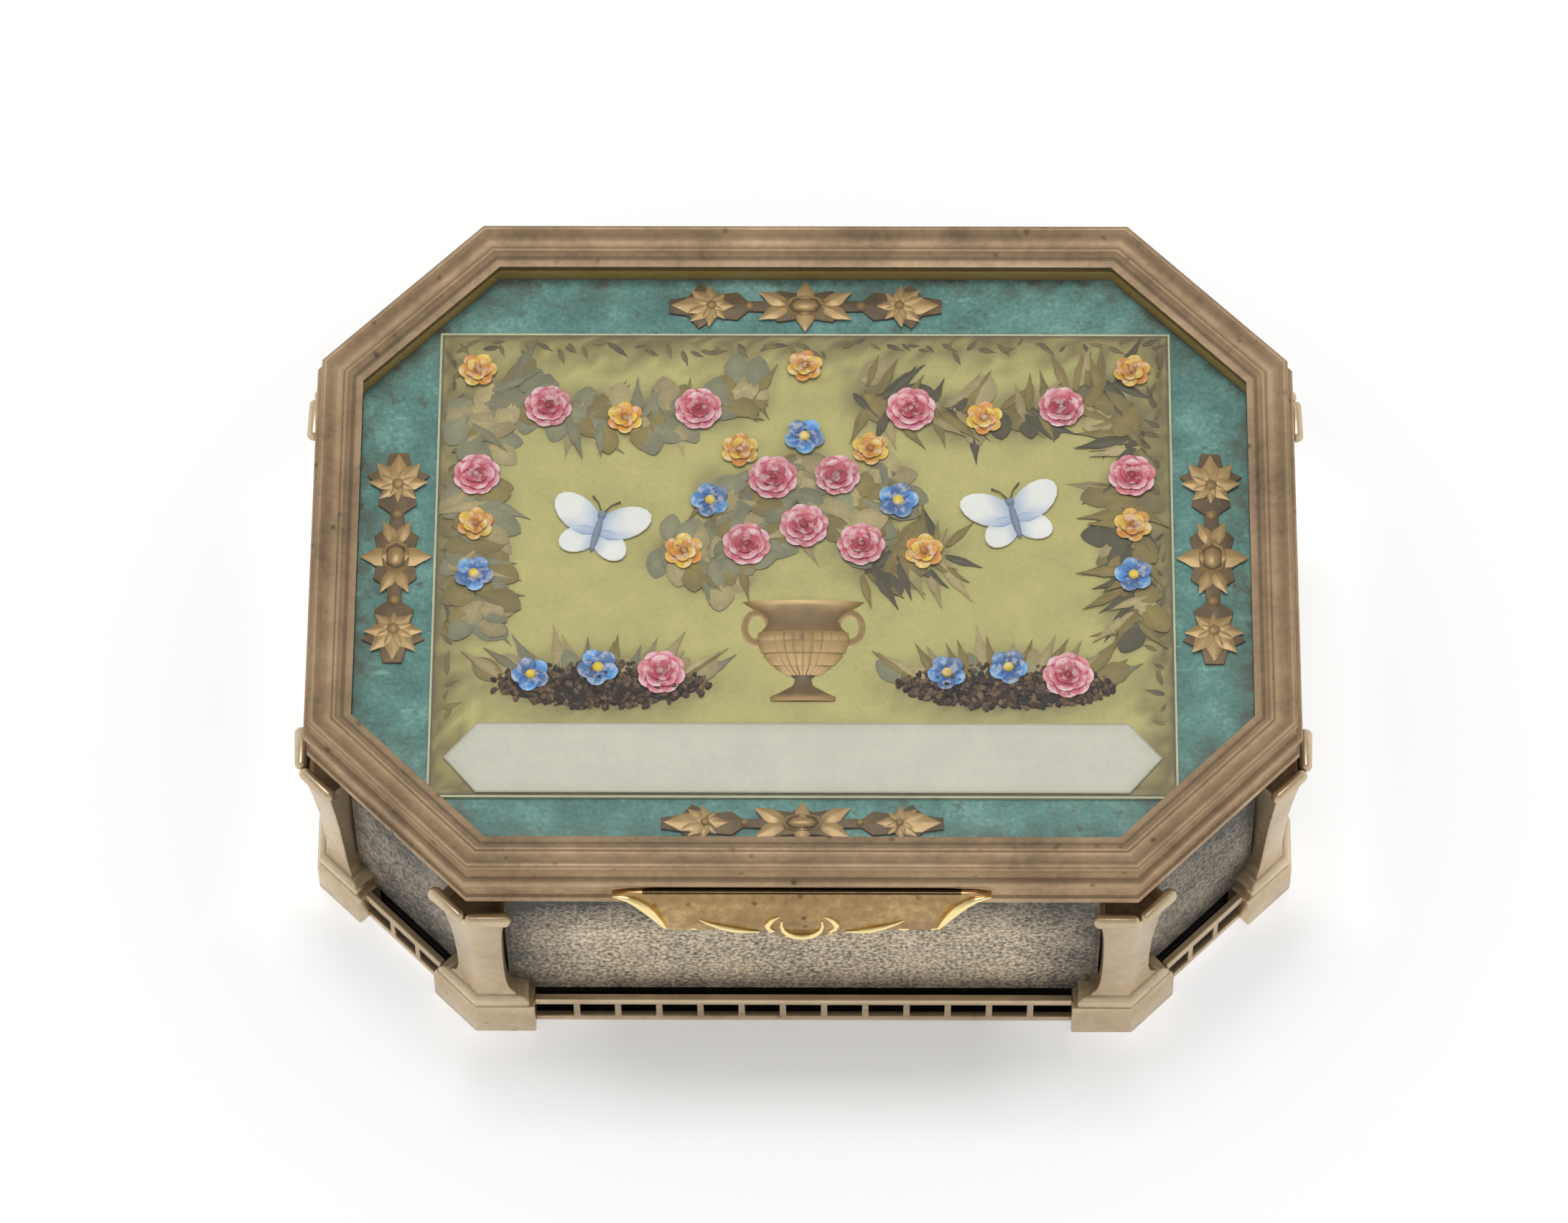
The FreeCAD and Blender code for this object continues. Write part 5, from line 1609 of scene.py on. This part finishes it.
class CASKET_OT_butterflies(bpy.types.Operator):
    """Two white butterflies"""
    bl_idname = "casket.butterflies"
    bl_label = "Butterflies"

    # Heading of each wing of a side in degrees, its length in millimetres, and its width as a share of that
    WINGS = ((32, 2.15, 0.62), (-38, 1.55, 0.72))
    # Places of a feeler's points and their thickness, in millimetres
    FEELER = ((0.1, 1.7, 0.2), (0.5, 2.4, 0.25), (1.1, 2.9, 0.22))
    FEELER_THICK = (0.06, 0.05, 0.08)
    # Half the span of the butterfly that these make, in millimetres, and how far each of the two is turned
    HALF_SPAN, TILT = 4.0, 14

    def execute(self, context):
        c = settings().collage
        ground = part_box("butterfly_scraps")[0].z
        wing = dish("wing", 16, ((0.12, -0.05), (0.35, -0.05), (0.25, -0.04)))
        apply(wing, "SOLIDIFY", thickness=0.08, offset=-1.0)
        wing.data.transform(Matrix.Translation((1.0, 0, 0)))
        paint(wing, lambda place: between(c.white_shade, c.white, 0.1 + place.x * 0.95 - 0.5 * abs(place.y)))
        parts = []
        for side in (0.0, math.pi):
            for turn, size, width in self.WINGS:
                way = side + math.radians(turn if side == 0.0 else -turn)
                parts.append(stamp(wing, spot(0, 0, 0.12 * MM, way, math.radians(4),
                                              (size * MM, size * width * MM, 0.9 * MM))))
        body = dome("butterfly_body", 1.0, 1.0)
        paint(body, lambda place: between(c.white_shade, c.leaf_dark, 0.45))
        parts.append(stamp(body, spot(0, -0.2 * MM, 0.1 * MM, 0, 0, (0.30 * MM, 1.7 * MM, 0.42 * MM))))
        parts.append(stamp(body, spot(0, 1.45 * MM, 0.1 * MM, 0, 0, (0.36 * MM, 0.40 * MM, 0.45 * MM))))
        for side in (-1, 1):
            feeler = rod("feeler", [(x * side * MM, y * MM, z * MM) for x, y, z in self.FEELER],
                         [thick * MM for thick in self.FEELER_THICK])
            paint(feeler, lambda place: c.leaf_dark)
            parts.append(feeler)
        discard(wing, body)
        template = join(parts, "butterfly_template")
        copies = []
        for number, (middle, _, half_length, _) in enumerate(solids_of("butterfly_scraps")):
            size = half_length / (self.HALF_SPAN * MM)
            turn = math.radians(self.TILT if number else -self.TILT)
            copies.append(stamp(template, spot(middle.x, middle.y, ground, turn, 0.0, (size, size, 1.0))))
        discard(template)
        piece = join(copies, "butterfly_wings")
        smooth(piece)
        finish_piece(piece, "lid", "white_paper", painted("white_paper_finish", mottle=0.10), "butterfly_scraps")
        return {"FINISHED"}


class CASKET_OT_stage(bpy.types.Operator):
    """Floor, white surround, lamps and camera"""
    bl_idname = "casket.stage"
    bl_label = "Stage"

    # How far past the case wall the painted shadow on the floor ends, in millimetres
    DARK_FROM, DARK_TO = 0.8, 1.6
    # How far from the case its shadow is lifted, and between which distances sideways that grows, in millimetres
    LIFT_REACH, LIFT_FROM, LIFT_TO = 15.0, 16.0, 33.0
    # Heights at which the surround starts and ends its change from horizon to overhead
    DOME_FROM, DOME_TO = 0.25, 0.95
    # The key lamp's width and place, in metres, and the width of the camera's frame, in millimetres
    KEY_SIZE, KEY_PLACE = 0.28, (-0.03, 0.19, 1.0)
    FRAME_WIDTH = 36.0

    def execute(self, context):
        context.scene.view_settings.view_transform = "Standard"
        self.floor()
        self.surround(context)
        self.lamps()
        self.camera(context)
        return {"FINISHED"}

    def floor(self):
        s = settings().stage
        start_clean()
        bpy.ops.mesh.primitive_plane_add(size=6.0)
        floor = new_piece("floor")
        material, tree, shader, place = new_material("pale_floor")
        # Painted shadow: the floor is dark under the case, and is not lifted there
        edge = outside(tree, place, "case_wall")
        clear = remap(tree, edge, self.DARK_FROM * MM, self.DARK_TO * MM)
        tree.links.new(blend(tree, clear, s.floor_dark, s.floor_white), shader.inputs["Base Color"])
        shader.inputs["Roughness"].default_value = 1.0
        shader.inputs["Specular IOR Level"].default_value = 0.0
        shader.inputs["Emission Color"].default_value = (1.0, 1.0, 1.0, 1.0)
        across = calc(tree, "ABSOLUTE", add(tree, "ShaderNodeSeparateXYZ", {0: place}).outputs["X"])
        near = calc(tree, "POWER", remap(tree, edge, self.LIFT_REACH * MM, 0.0), 2.0)
        beside = calc(tree, "MULTIPLY", near, remap(tree, across, self.LIFT_FROM * MM, self.LIFT_TO * MM))
        ends = calc(tree, "MULTIPLY", beside, s.floor_ends)
        lift = calc(tree, "MULTIPLY", clear, calc(tree, "ADD", s.floor_lift, ends))
        seen = seen_ray(tree, tree.nodes.new("ShaderNodeLightPath").outputs)
        tree.links.new(calc(tree, "MULTIPLY", seen, lift), shader.inputs["Emission Strength"])
        floor.data.materials.append(material)

    def surround(self, context):
        s = settings().stage
        world = bpy.data.worlds.new("white_surround")
        context.scene.world = world
        world.use_nodes = True
        tree = world.node_tree
        direction = tree.nodes.new("ShaderNodeTexCoord").outputs["Generated"]
        up = add(tree, "ShaderNodeSeparateXYZ", {0: direction}).outputs["Z"]
        path = tree.nodes.new("ShaderNodeLightPath").outputs
        unscattered = calc(tree, "LESS_THAN", path["Diffuse Depth"], 0.5)
        seen = calc(tree, "MULTIPLY", seen_ray(tree, path), unscattered)
        shown = remap(tree, up, self.DOME_FROM, self.DOME_TO, s.dome_low, s.dome_high)
        level = add(tree, "ShaderNodeMix", {0: seen, 2: s.dome_fill, 3: shown}).outputs[0]
        tree.links.new(level, tree.nodes["Background"].inputs["Strength"])
        tree.nodes["Background"].inputs["Color"].default_value = (1.0, 1.0, 1.0, 1.0)

    def lamps(self):
        lamp = bpy.data.lights.new("key", "AREA")
        lamp.energy = settings().stage.key_power
        lamp.size = self.KEY_SIZE
        key = bpy.data.objects.new("key", lamp)
        bpy.context.scene.collection.objects.link(key)
        key.location = self.KEY_PLACE
        key.rotation_euler = (-key.location).to_track_quat("-Z", "Y").to_euler()

    def camera(self, context):
        s = settings().stage
        forward = Vector((math.sin(s.yaw) * math.cos(s.elevation), math.cos(s.yaw) * math.cos(s.elevation),
                          -math.sin(s.elevation)))
        level_right = Vector((math.cos(s.yaw), -math.sin(s.yaw), 0.0))
        level_up = level_right.cross(forward)
        right = level_right * math.cos(s.roll) + level_up * math.sin(s.roll)
        up = level_up * math.cos(s.roll) - level_right * math.sin(s.roll)
        lens = bpy.data.cameras.new("camera")
        lens.sensor_width = self.FRAME_WIDTH
        lens.lens = s.lens
        camera = bpy.data.objects.new("camera", lens)
        context.scene.collection.objects.link(camera)
        place = Vector((0.0, 0.0, s.height)) - forward * s.distance - right * s.shift_across - up * s.shift_up
        turn = Matrix((right, up, -forward)).transposed().to_4x4()
        camera.matrix_world = Matrix.Translation(place) @ turn
        context.scene.camera = camera


class CASKET_PT_sidebar(bpy.types.Panel):
    """Lists the casket's settings and pieces"""
    bl_idname = "CASKET_PT_sidebar"
    bl_label = "Keepsake casket"
    bl_space_type = "VIEW_3D"
    bl_region_type = "UI"
    bl_category = "Casket"

    def draw(self, context):
        for group in ("gilding", "panels", "collage", "stage"):
            values = getattr(context.scene.casket, group)
            box = self.layout.box()
            for name in values.__annotations__:
                box.prop(values, name)
        for operator in PIECES:
            self.layout.operator(operator.bl_idname)


PIECES = (CASKET_OT_lid_moulding, CASKET_OT_case_shell, CASKET_OT_panels, CASKET_OT_plinths_and_galleries,
          CASKET_OT_pilasters, CASKET_OT_thumb_piece, CASKET_OT_hinge, CASKET_OT_glazing, CASKET_OT_card_and_strip,
          CASKET_OT_ornaments, CASKET_OT_foliage, CASKET_OT_moss, CASKET_OT_flowers, CASKET_OT_urn,
          CASKET_OT_butterflies, CASKET_OT_stage)
CLASSES = (CasketGilding, CasketPanels, CasketCollage, CasketStage, CasketSettings) + PIECES + (CASKET_PT_sidebar,)


def register():
    for item in CLASSES:
        bpy.utils.register_class(item)
    bpy.types.Scene.casket = PointerProperty(type=CasketSettings)


def unregister():
    del bpy.types.Scene.casket
    for item in reversed(CLASSES):
        bpy.utils.unregister_class(item)


def main():
    register()
    for operator in PIECES:
        getattr(bpy.ops.casket, operator.bl_idname.split(".")[1])()


if __name__ == "__main__":
    main()
